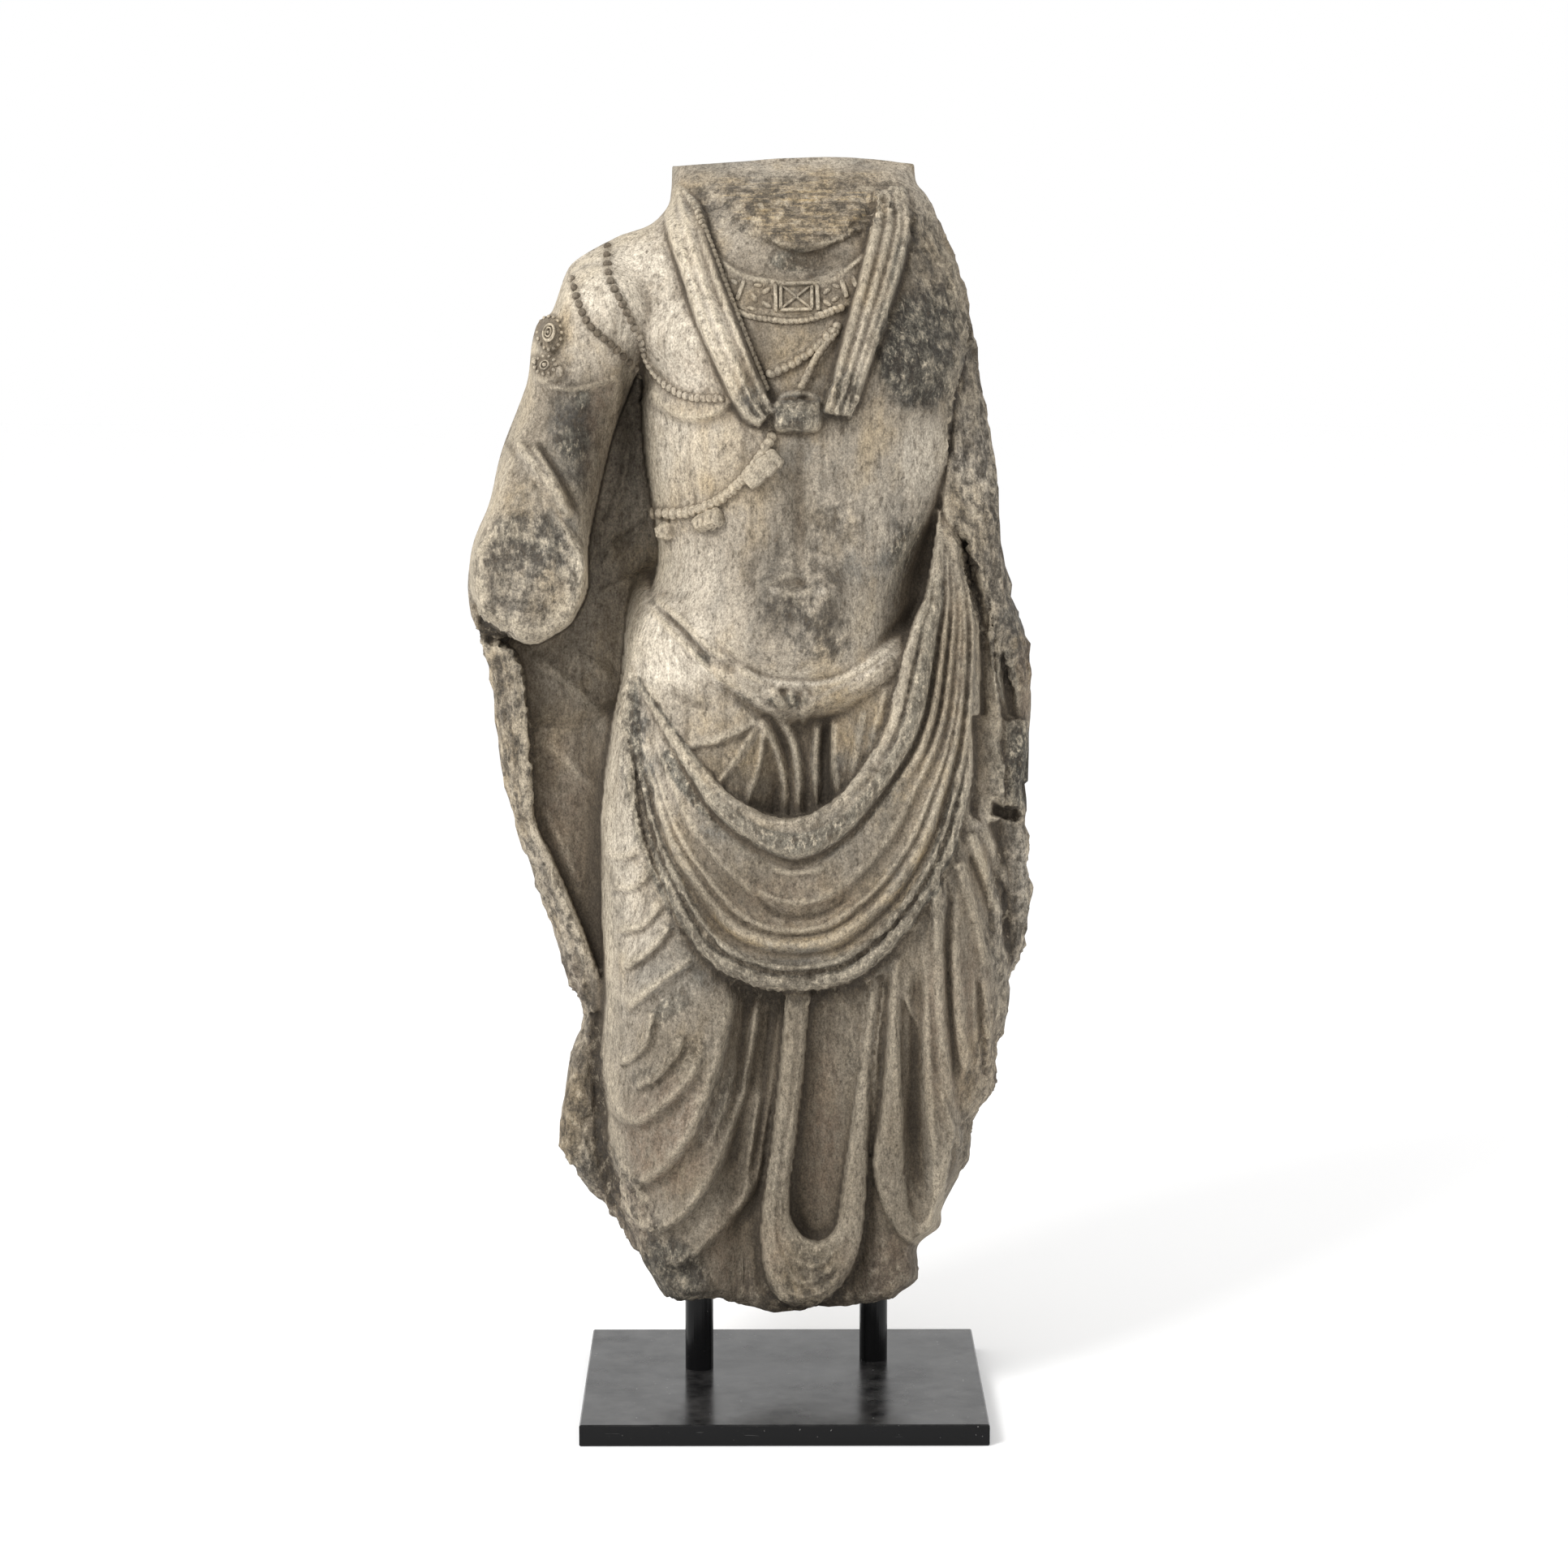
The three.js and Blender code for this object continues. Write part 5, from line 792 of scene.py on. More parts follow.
def outlineCurves():
    # The sides of the outline by row
    return [curve([(row, column) for column, row in outline[side]]) for side in ("left", "right")]


def softPatches(x, y, patches, sharpness):
    field = np.zeros(x.shape)
    for x0, y0, wide, high, angle, strength in patches:
        spot = moundHeight(x, y, (x0, y0, wide, high, 1.0, angle, 1.0))
        field = np.maximum(field, strength * clamp(spot * sharpness))
    return field


# Painted shade in hollows and painted highlights on sharp crests, read from the carving, and the broken
# places. Reaches of the blurs in grid steps, and for each the height that counts in full and its weight
paintedLightAndWear = {
    "reaches": (2, 6, 16), "hollow": ((2.2, 0.4), (6, 0.5), (16, 0.6)), "sharp": ((1.6, 0.7), (6, 0.5)),
    # Frayed rims of the swag: line, strength, reach and half width, and the rows where it begins
    "frayed": (("outer", 0.55, 1.5, 26, (900, 1040)), ("inner", 0.3, 1.6, 26, (800, 801))),
    # Columns from the outline over which the painted shade of hollows grows in; softness of broken places,
    # of patches and of paths
    "shadeFreeSide": (2, 14), "brokenEdge": 4.0, "patchEdge": 1.6, "pathLevel": 1.5,
    # How fast the neck's beds come in, and how much of the painted crest highlight they take away there
    "strataEdge": 5, "strataSharp": 0.9,
}


def surfaceFields(relief):
    # How hollow (for painted shade), how sharp (for painted highlights), how broken and how stained the
    # front is, with the patches and paths of stains, painted shade and painted highlights, over the drawing
    x, y, h = relief.x, relief.y, relief.h
    depths = [blurred(h, reach) - h for reach in paintedLightAndWear["reaches"]]
    hollow = sum(clamp(depth / full) * weight for depth, (full, weight) in zip(depths, paintedLightAndWear["hollow"]))
    sharp = sum(clamp(-depth / full) * weight for depth, (full, weight) in zip(depths, paintedLightAndWear["sharp"]))
    broken = softPatches(x, y, brokenPlaces.values(), paintedLightAndWear["brokenEdge"])
    for line, strength, reach, half, rows in paintedLightAndWear["frayed"]:
        away = nearest(x, y, curve(swag[line], 3))[0]
        broken = np.maximum(broken, strength * clamp(reach - away / half) * ease(*rows, y))
    leftLine, rightLine = outlineCurves()
    fromSide = np.minimum(x - lookup(leftLine, y), lookup(rightLine, y) - x)
    strata = clamp(withinBreak(x, y, neck) * paintedLightAndWear["strataEdge"])
    fields = {"hollow": clamp(hollow * ease(*paintedLightAndWear["shadeFreeSide"], fromSide)),
              "sharp": clamp(sharp) * (1 - paintedLightAndWear["strataSharp"] * strata), "broken": broken,
              "strata": strata}
    for name, patches in (stainsAndPaintedLight | tints).items():
        fields[name] = softPatches(x, y, patches, paintedLightAndWear["patchEdge"])
    level = paintedLightAndWear["pathLevel"]
    for name, half, strength, path in tintPaths:
        away = nearest(x, y, curve(path, 4))[0]
        fields[name] = np.maximum(fields[name], strength * clamp(level - level * (away / half) ** 2))
    return fields


# Places between the drawing and the stone, and how the stone stands, in millimetres
tilt, turn = math.radians(drawing["tilt"]), math.radians(drawing["turn"])
standing = {"stoneHeight": 804.0, "rodShown": 54.0}


def sightPoints(x, y, h):
    across, down = x - drawing["middle"], y - drawing["middle"]
    ahead = drawing["distance"] * math.cos(tilt) - down * math.sin(tilt)
    rise = -(down * math.cos(tilt) + drawing["distance"] * math.sin(tilt))
    right = across * math.cos(turn) + ahead * math.sin(turn)
    forward = ahead * math.cos(turn) - across * math.sin(turn)
    reach = (-h - drawing["eye"][1]) / forward
    return np.stack([drawing["eye"][0] + right * reach, -h, drawing["eye"][2] + rise * reach], -1)


drawnTop = float(sightPoints(*drawing["highest"])[2])
drawnFoot = float(sightPoints(*drawing["lowest"])[2])
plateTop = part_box("base_plate")[1][2] / mm
figureScale = standing["stoneHeight"] / (drawnTop - drawnFoot)
stoneFoot = plateTop + standing["rodShown"]


def onStone(points):
    return np.stack([points[..., 0] * figureScale, points[..., 1] * figureScale,
                     stoneFoot + (points[..., 2] - drawnFoot) * figureScale], -1) * mm


def onDrawing(places):
    # Drawing coordinates of places on the stone, in metres
    x = places[:, 0] / mm / figureScale - drawing["eye"][0]
    y = places[:, 1] / mm / figureScale - drawing["eye"][1]
    z = (places[:, 2] / mm - stoneFoot) / figureScale + drawnFoot - drawing["eye"][2]
    across = x * math.cos(turn) - y * math.sin(turn)
    ahead = x * math.sin(turn) + y * math.cos(turn)
    depth = ahead * math.cos(tilt) - z * math.sin(tilt)
    down = -(ahead * math.sin(tilt) + z * math.cos(tilt))
    return (drawing["middle"] + drawing["distance"] * across / depth,
            drawing["middle"] + drawing["distance"] * down / depth)


def readField(field, x, y):
    column = np.clip((x - drawing["left"]) / drawing["step"], 0, field.shape[1] - 1.001)
    row = np.clip((y - drawing["top"]) / drawing["step"], 0, field.shape[0] - 1.001)
    i, j = row.astype(int), column.astype(int)
    a, b = row - i, column - j
    return ((field[i, j] * (1 - b) + field[i, j + 1] * b) * (1 - a)
            + (field[i + 1, j] * (1 - b) + field[i + 1, j + 1] * b) * a)


# Numbers that scramble a cell of the noise: per axis, per seed, and each round's shift and factor
scramble = {"axes": (73856093, 19349663, 83492791), "seed": 2654435761,
            "rounds": ((13, 1274126177), (11, 668265263))}


def latticeNoise(places, size, seed):
    # Smooth noise from -1 to 1 with a grain of the given size along each axis
    spot = places / np.array(size)
    cell = np.floor(spot).astype(np.int64)
    t = spot - cell
    t = t * t * (3 - 2 * t)
    total = np.zeros(len(places))
    for corner in range(8):
        step = np.array([corner & 1, corner >> 1 & 1, corner >> 2 & 1])
        key = ((cell + step) * np.array(scramble["axes"])).sum(1) + seed * scramble["seed"]
        for shift, factor in scramble["rounds"]:
            key = (key ^ (key >> shift)) * factor & 0x7FFFFFFF
        weight = np.prod(np.where(step == 1, t, 1 - t), axis=1)
        total += weight * ((key & 0xFFFFF) / 0x7FFFF - 1.0)
    return total


def layeredNoise(places, size, seed, layers=3):
    size = np.array(size, float)
    total = np.zeros(len(places))
    strength, weight = 1.0, 0.0
    for layer in range(layers):
        total += strength * latticeNoise(places, size / 2 ** layer, seed + 17 * layer)
        weight += strength
        strength *= 0.55
    return total / weight


def deselect():
    bpy.ops.object.select_all(action="DESELECT")


def activate(thing):
    deselect()
    thing.select_set(True)
    bpy.context.view_layer.objects.active = thing


def readPlaces(mesh):
    places = np.empty(len(mesh.vertices) * 3, np.float32)
    mesh.vertices.foreach_get("co", places)
    return places.reshape(-1, 3).astype(float)


def writePlaces(mesh, places):
    mesh.vertices.foreach_set("co", places.astype(np.float32).ravel())
    mesh.update()


# The rim where the front turns to the sides, and the plain back
edges = {
    "rim": [(190, -72, -72), (206, -70, -65), (260, -40, -45), (300, -25, -40), (350, -10, -40),
            (480, -5, -30), (600, 0, -30), (700, 15, -25), (770, 5, -20), (800, -25, -18),
            (1000, -30, -10), (1100, -40, -15), (1250, -35, -15), (1400, -30, -20),
            (1500, -20, -20), (1560, 0, -5), (1620, 20, 10)],
    "rimRound": 14, "sideFall": 9, "hemRound": 16, "hemFall": 8, "back": -90.0, "backRound": 16.0,
    # Rows over which the outline's uneven top and foot fade in, and the share left at the back
    "topRows": 60, "footRows": 80, "backShare": 0.95,
}
stoneBlock = {"rows": 640, "columns": 290, "voxel": 1.4, "triangles": 190000}


def shapeStone(relief):
    # A grid is shaped to the carved front, its border is drawn back and closed
    rows, columns = stoneBlock["rows"], stoneBlock["columns"]
    bpy.ops.mesh.primitive_grid_add(x_subdivisions=columns, y_subdivisions=rows, size=2)
    stone = bpy.context.object
    stone.name = "stone"
    share = readPlaces(stone.data)
    u = (share[:, 0] + 1) / 2
    first, last = outline["firstRow"], outline["lastRow"]
    drawnY = first + (last - first) * (1 - share[:, 1]) / 2
    start, end = [lookup(line, drawnY) for line in outlineCurves()]
    x = start + (end - start) * u
    topShare = 1 - ease(first, first + edges["topRows"], drawnY)
    atTop = (lookup(curve(outline["top"]), x) - first) * topShare
    footShare = ease(last - edges["footRows"], last, drawnY)
    atBottom = (lookup(curve(outline["bottom"]), x) - last) * footShare
    y = drawnY + atTop + atBottom
    rim = np.where(u < 0.5, lookup(edges["rim"], y, 1), lookup(edges["rim"], y, 2))
    fromSide = np.minimum(x - start, end - x)
    h = np.maximum(readField(relief.h, x, y), rim - (fromSide / edges["sideFall"]) ** 2)
    roundEdge = np.sqrt(clamp(1 - (1 - clamp(fromSide / edges["rimRound"])) ** 2))
    hem = edges["hemFall"] * clamp(1 - (lookup(outline["bottom"], x) - y) / edges["hemRound"]) ** 2
    writePlaces(stone.data, onStone(sightPoints(x, y, rim + (h - rim) * roundEdge - hem)))
    activate(stone)
    bpy.ops.object.mode_set(mode="EDIT")
    bpy.ops.mesh.select_all(action="SELECT")
    bpy.ops.mesh.region_to_loop()
    backFlat = -edges["back"] * figureScale * mm
    for depth, size in ((backFlat - edges["backRound"] * mm, 1.0), (backFlat, edges["backShare"])):
        count = len(stone.data.vertices)
        bpy.ops.mesh.extrude_region_move()
        bpy.ops.object.mode_set(mode="OBJECT")
        places = readPlaces(stone.data)
        fresh = places[count:]
        middle = fresh.mean(0)
        fresh[:, 0] = middle[0] + (fresh[:, 0] - middle[0]) * size
        fresh[:, 2] = middle[2] + (fresh[:, 2] - middle[2]) * (1 - (1 - size) / 2)
        fresh[:, 1] = np.maximum(fresh[:, 1], depth)
        writePlaces(stone.data, places)
        bpy.ops.object.mode_set(mode="EDIT")
    bpy.ops.mesh.edge_face_add()
    bpy.ops.mesh.select_all(action="SELECT")
    bpy.ops.mesh.normals_make_consistent(inside=False)
    bpy.ops.object.mode_set(mode="OBJECT")
    return stone


def applied(thing, kind, **settings):
    modifier = thing.modifiers.new(kind.lower(), kind)
    for name, value in settings.items():
        setattr(modifier, name, value)
    activate(thing)
    bpy.ops.object.modifier_apply(modifier=modifier.name)


def evenStone(stone):
    # An even skin with no more triangles than a piece may have
    applied(stone, "REMESH", mode="VOXEL", voxel_size=stoneBlock["voxel"] * mm)
    print("stone remeshed", len(stone.data.vertices))
    triangles = sum(len(face.vertices) - 2 for face in stone.data.polygons)
    applied(stone, "DECIMATE", ratio=min(1.0, stoneBlock["triangles"] / triangles))
    print("stone thinned", len(stone.data.polygons))


# Millimetres of roughness, and of each noise the grain along each axis, the seed and the layers
roughness = {
    "break": 5.0, "splitShare": 0.6, "splitCurve": 0.7, "crumbShare": 0.5, "tool": 0.9,
    "worn": 1.2, "pits": 1.3, "back": 1.2, "least": 0.35,
    "flatBeds": ((22, 9, 3.4), 3, 3), "uprightBeds": ((3.6, 9, 26), 5, 3),
    "crumbs": ((5, 5, 5), 7, 2), "toolMarks": ((12, 12, 16), 11, 3), "pitted": ((6, 6, 11), 29, 2),
    "swells": ((40, 40, 60), 13, 2), "backWaves": ((16, 30, 40), 19, 3),
    # Depths where the front ends and the back begins, rows of the neck and of the skirt, where
    # pits begin, and the foot that the sockets keep calm: its heights and least share
    "frontDepth": (60, 20), "backDepth": (50, 80), "neckRows": (330, 270), "skirtRows": (820, 1000),
    "pitLevel": (0.25, 0.7), "foot": (16, 40), "footShare": 0.4,
}


def surfaceNormals(mesh):
    normals = np.empty(len(mesh.vertices) * 3, np.float32)
    mesh.vertices.foreach_get("normal", normals)
    return normals.reshape(-1, 3).astype(float)


def roughenStone(stone, fields):
    # Breaks split along the beds of the schist: flat beds in the neck, upright ones at the sides
    places = readPlaces(stone.data)
    spots = places / mm
    normals = surfaceNormals(stone.data)
    x, y = onDrawing(places)

    def noise(name):
        return layeredNoise(spots, *roughness[name])

    front = ease(*roughness["frontDepth"], spots[:, 1])
    broken = readField(fields["broken"], x, y) * front
    inNeck = ease(*roughness["neckRows"], y)
    beds = noise("flatBeds") * inNeck + noise("uprightBeds") * (1 - inNeck)
    split = np.sign(beds) * np.abs(beds) ** roughness["splitCurve"]
    torn = roughness["splitShare"] * split + roughness["crumbShare"] * noise("crumbs")
    shift = broken * roughness["break"] * torn
    least = roughness["least"]
    rough = least + (1 - least) * np.maximum(ease(*roughness["skirtRows"], y), broken)
    shift += roughness["tool"] * rough * noise("toolMarks")
    shift -= roughness["pits"] * ease(*roughness["pitLevel"], noise("pitted")) * rough * front
    shift += roughness["worn"] * noise("swells") * front * rough
    shift += ease(*roughness["backDepth"], spots[:, 1]) * roughness["back"] * noise("backWaves")
    low, high = [stoneFoot + height for height in roughness["foot"]]
    kept = roughness["footShare"]
    keep = ease(low, high, spots[:, 2]) * (1 - kept) + kept
    writePlaces(stone.data, places + normals * (shift * keep * mm)[:, None])
    return x, y, front


# Masks for the material and what their channels hold
# hollow and shade carry painted shade, sharp and light painted highlights, dark, dull and slate are partly
# painted shade; broken, blue, ochre, strata and rust are the stone's own colours
maskParts = {
    "paintedLightAndBreakMask": ("hollow", "sharp", "broken"), "stainAndShadeMask": ("dark", "blue", "ochre"),
    "toneMask": ("light", "dull", "strata"), "tintMask": ("slate", "rust", "shade"),
}


def paintMasks(piece, fields, x, y, front):
    for name, kinds in maskParts.items():
        values = np.ones((len(x), 4), np.float32)
        for channel, kind in enumerate(kinds):
            values[:, channel] = readField(fields[kind], x, y) * front
        layer = piece.data.color_attributes.new(name, "FLOAT_COLOR", "POINT")
        layer.data.foreach_set("color", values.ravel())


# Ornaments on the skin. Strings: kind, path, every, then half length, half width, half rise, turn
ornaments = {
    # How much a bead's size varies and how fast along its string, and how slim a wreath's beads are
    "uneven": (0.12, 2.4), "slim": 0.8,
    "strings": [
        ("bead", [(749, 304), (748, 318), (752, 345), (767, 374), (782, 404)], 11.0, 5.4, 5.0, 5.4, 0),
        ("bead", [(705, 344), (713, 373), (727, 401), (758, 429), (790, 462)], 10.5, 5.2, 4.8, 5.2, 0),
        ("bead", [(788, 416), (799, 450), (822, 476), (850, 489), (889, 491)], 7.5, 5.2, 5.0, 3.8, 35),
        ("bead", [(1031, 403), (1008, 424), (980, 445), (950, 460)], 9.0, 6.2, 6.4, 7.5, 38),
        ("bead", [(1029, 410), (1008, 439), (988, 476)], 4.5, 5.6, 4.8, 7.0, 0),
        ("bead", [(858, 256), (875, 300), (898, 362), (922, 424), (944, 478)], 6.4, 5.8, 4.6, 4.2, 48),
        ("bead", [(912, 386), (943, 392), (974, 395), (1005, 390), (1036, 379)], 6.4, 5.6, 4.8, 5.4, 38),
        ("bead", [(951, 538), (935, 566), (908, 598), (875, 622), (840, 632), (806, 632)], 8.0, 6.6, 7.2,
         7.2, 30),
    ],
    # Bars: from, to, half width, half rise
    "bars": [
        ((955, 347), (956, 386), 2.3, 4.8), ((962, 351), (962, 382), 2.0, 4.6),
        ((1000, 351), (1000, 382), 2.0, 4.6), ((962, 351), (1000, 350), 2.0, 4.6),
        ((962, 383), (1000, 382), 2.0, 4.6), ((964, 353), (998, 380), 1.5, 3.8),
        ((998, 353), (964, 380), 1.5, 3.8), ((1006, 349), (1008, 384), 2.4, 4.8),
        ((917, 346), (908, 371), 2.6, 4.4), ((1036, 345), (1043, 368), 3.0, 4.6),
        ((1050, 338), (1057, 356), 2.8, 4.4), ((895, 334), (889, 350), 2.4, 3.6),
    ],
    # Beads round a rosette: x, y, half width, half height, how many, half size, half rise
    "wreaths": [(677, 410, 14, 19.5, 16, 3.2, 3.2), (672, 450, 12.5, 10.5, 11, 3.0, 3.4)],
    # Single lumps: kind, x, y, half length, half width, half rise, turn, lift
    "lumps": [
        ("bead", 929, 367, 8, 4, 4.4, 60, 0), ("bead", 944, 359, 7, 3.6, 4.4, -35, 0),
        ("bead", 944, 376, 8, 3.6, 4.4, 30, 0), ("bead", 926, 381, 7, 3.4, 3.6, 12, 0),
        ("bead", 934, 352, 6, 3.2, 3.6, 5, 0), ("bead", 1019, 359, 7, 3.4, 4.2, -40, 0),
        ("bead", 1019, 374, 7, 3.4, 4.2, 35, 0), ("bead", 1030, 353, 6, 3.2, 4.0, 25, 0),
        ("bead", 1029, 369, 6, 3.2, 4.0, -30, 0), ("bead", 905, 348, 6, 3.4, 3.4, 35, 0),
        ("ring", 677, 410, 13, 9.5, 14.0, 88, 1.0), ("ring", 677, 410, 7.4, 5.2, 12.0, 88, 1.6),
        ("bead", 677, 410, 2.8, 2.2, 4.8, 88, 0),
        ("ring", 672, 450, 8, 6.4, 12.0, 6, 1.0), ("bead", 672, 450, 3.2, 2.8, 4.8, 6, 0),
        ("bead", 689, 458, 5, 7, 5.0, 0, 0), ("bead", 659, 444, 5, 5, 4.0, 0, 0),
        ("case", 940, 578, 26, 11, 13.0, -42, 0), ("case", 873, 641, 19, 10, 12.0, -20, 0),
        ("case", 820, 654, 12, 9, 10.5, 4, 0),
    ],
}


def walk(path, every):
    # Places along a path with the way it runs in degrees
    line = curve(path, 10)
    along = np.concatenate([[0.0], np.cumsum(np.hypot(*np.diff(line, axis=0).T))])
    at = np.linspace(0, along[-1], max(2, round(along[-1] / every) + 1))
    xs, ys = np.interp(at, along, line[:, 0]), np.interp(at, along, line[:, 1])
    return zip(xs, ys, np.degrees(np.arctan2(np.gradient(ys), np.gradient(xs))))


def ornamentPlaces():
    # Kind, x, y, half length, half width, half rise, turn and lift off the skin
    places = []
    most, pace = ornaments["uneven"]
    for kind, path, every, long, wide, high, twist in ornaments["strings"]:
        for count, (x, y, angle) in enumerate(walk(path, every)):
            size = 1 + most * math.sin(count * pace)
            places.append((kind, x, y, long * size, wide * (2 - size), high, angle + twist, 0))
    for (xa, ya), (xb, yb), wide, high in ornaments["bars"]:
        long = math.hypot(xb - xa, yb - ya) / 2
        places.append(("bar", (xa + xb) / 2, (ya + yb) / 2, long, wide, high,
                       math.degrees(math.atan2(yb - ya, xb - xa)), 0))
    for x, y, wide, tall, count, size, high in ornaments["wreaths"]:
        for k in range(count):
            angle = 2 * math.pi * k / count
            places.append(("bead", x + wide * math.cos(angle), y + tall * math.sin(angle),
                           size, size * ornaments["slim"], high, math.degrees(angle), 0))
    return places + list(ornaments["lumps"])


# A case: half width, and where its collars and its middle ring begin and end and how wide
case = {
    "sides": 6, "half": 0.82,
    "cuts": ((-0.92, 1.0), (-0.62, 1.0), (-0.55, 0.82), (-0.1, 0.82), (-0.06, 0.95),
             (0.06, 0.95), (0.1, 0.82), (0.55, 0.82), (0.62, 1.0), (0.92, 1.0)),
}


def bodyOf(kind):
    # One of each kind, two units long, wide and high about the origin
    if kind == "bar":
        bpy.ops.mesh.primitive_cube_add(size=2)
        applied(bpy.context.object, "BEVEL", width=0.35, segments=2)
    elif kind == "ring":
        bpy.ops.mesh.primitive_torus_add(major_segments=24, minor_segments=6, major_radius=0.85,
                                         minor_radius=0.15)
    elif kind == "case":
        # A case with a collar at each end and one round its middle
        bpy.ops.mesh.primitive_cylinder_add(vertices=case["sides"], radius=case["half"], depth=2,
                                            end_fill_type="NGON", rotation=(0, math.pi / 2, 0))
        bpy.ops.object.transform_apply(rotation=True)
        bpy.ops.object.mode_set(mode="EDIT")
        for at, wide in case["cuts"]:
            size = wide / case["half"]
            bpy.ops.mesh.select_all(action="SELECT")
            bpy.ops.mesh.bisect(plane_co=(at, 0, 0), plane_no=(1, 0, 0))
            bpy.ops.transform.resize(value=(1, size, size), center_override=(0, 0, 0))
        bpy.ops.object.mode_set(mode="OBJECT")
    else:
        bpy.ops.mesh.primitive_uv_sphere_add(segments=12, ring_count=8, radius=1)
    return bpy.context.object


def skinMatrix(calm, x, y, turnDegrees):
    # Along the ornament, across it and out of the stone, at its place on the skin
    def place(px, py):
        return Vector(onStone(sightPoints(px, py, readField(calm, np.array(px), np.array(py)))))

    angle, reach = math.radians(turnDegrees), 3.0
    dx, dy = math.cos(angle) * reach, math.sin(angle) * reach
    along = (place(x + dx, y + dy) - place(x - dx, y - dy)).normalized()
    across = (place(x - dy, y + dx) - place(x + dy, y - dx)).normalized()
    outward = across.cross(along).normalized()
    across = outward.cross(along)
    return place(x, y), along, across, outward


def makeOrnaments(relief):
    calm = blurred(relief.h, 1)
    bodies, copies = {}, []
    for kind, x, y, long, wide, high, angle, lift in ornamentPlaces():
        if kind not in bodies:
            deselect()
            bodies[kind] = bodyOf(kind)
        at, along, across, outward = skinMatrix(calm, x, y, angle)
        copy = bodies[kind].copy()
        copy.data = bodies[kind].data.copy()
        bpy.context.collection.objects.link(copy)
        sizes = [value * drawing["unit"] * mm for value in (long, wide, high)]
        facing = Matrix((along * sizes[0], across * sizes[1], outward * sizes[2])).transposed()
        lifted = at + outward * lift * drawing["unit"] * mm
        copy.data.transform(Matrix.Translation(lifted) @ facing.to_4x4())
        copies.append(copy)
    deselect()
    for body in bodies.values():
        body.select_set(True)
    bpy.ops.object.delete()
    for copy in copies:
        copy.select_set(True)
    bpy.context.view_layer.objects.active = copies[0]
    bpy.ops.object.join()
    carved = bpy.context.object
    carved.name = "ornaments"
    return carved


# Painted shade round an ornament's foot: how far it reaches and how strong it is, and which beads are
# painted dark all over as shade
contacts = {
    "ring": (12, 0.7), "shoulder": (3, 0.45), "other": (4, 0.6),
    "shoulderBox": (700, 800, 470), "boxEdges": (4, 20, 10),
    "edge": 1.6, "foot": (0.2, 1.6, 0.75), "crest": (1.2, 3.4, 0.75), "darkBead": 0.7,
}


# Painted shade round each ornament's foot, laid into the hollow mask
def markContacts(relief, fields):
    left, right, bottom = contacts["shoulderBox"]
    for kind, x, y, long, wide, high, angle, lift in ornamentPlaces():
        onShoulder = left < x < right and y < bottom
        where = "ring" if kind == "ring" else "shoulder" if onShoulder else "other"
        reach, strength = contacts[where]
        around = moundHeight(relief.x, relief.y, (x, y, long + reach, wide + reach, 1.0, angle, 1.0))
        fields["hollow"] = np.maximum(fields["hollow"], strength * clamp(around * contacts["edge"]))


def paintOrnaments(carved, relief, fields):
    # Painted shade at their feet and a painted highlight on their crests, apart from the beads on the
    # shoulder, which are painted dark all over as shade
    places = readPlaces(carved.data)
    x, y = onDrawing(places)
    proud = -places[:, 1] / mm / figureScale - readField(relief.h, x, y)
    paintMasks(carved, fields, x, y, np.ones(len(x)))
    layer = carved.data.color_attributes["paintedLightAndBreakMask"]
    values = np.empty(len(x) * 4, np.float32)
    layer.data.foreach_get("color", values)
    values = values.reshape(-1, 4)
    left, right, bottom = contacts["shoulderBox"]
    atLeft, atRight, below = contacts["boxEdges"]
    onShoulder = (ease(right, right - atRight, x) * ease(bottom + below, bottom, y)
                  * ease(left, left + atLeft, x))
    low, high, strength = contacts["foot"]
    atFoot = strength * (1 - ease(low, high, proud))
    values[:, 0] = np.maximum(atFoot, contacts["darkBead"] * onShoulder)
    low, high, strength = contacts["crest"]
    values[:, 1] = strength * ease(low, high, proud) * (1 - onShoulder)
    layer.data.foreach_set("color", values.ravel())


relief = carveFront()
carved = makeOrnaments(relief)
fields = surfaceFields(relief)
markContacts(relief, fields)
print("carving worked out", relief.h.shape, "ornaments", len(carved.data.polygons))
stone = shapeStone(relief)
evenStone(stone)
x, y, front = roughenStone(stone, fields)
paintMasks(stone, fields, x, y, front)
paintOrnaments(carved, relief, fields)
for piece, crease in ((carved, 48), (stone, 180)):
    activate(piece)
    bpy.ops.object.shade_smooth_by_angle(angle=math.radians(crease))
    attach(piece, "root")
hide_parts("stone_torso")
print("stone roughened")


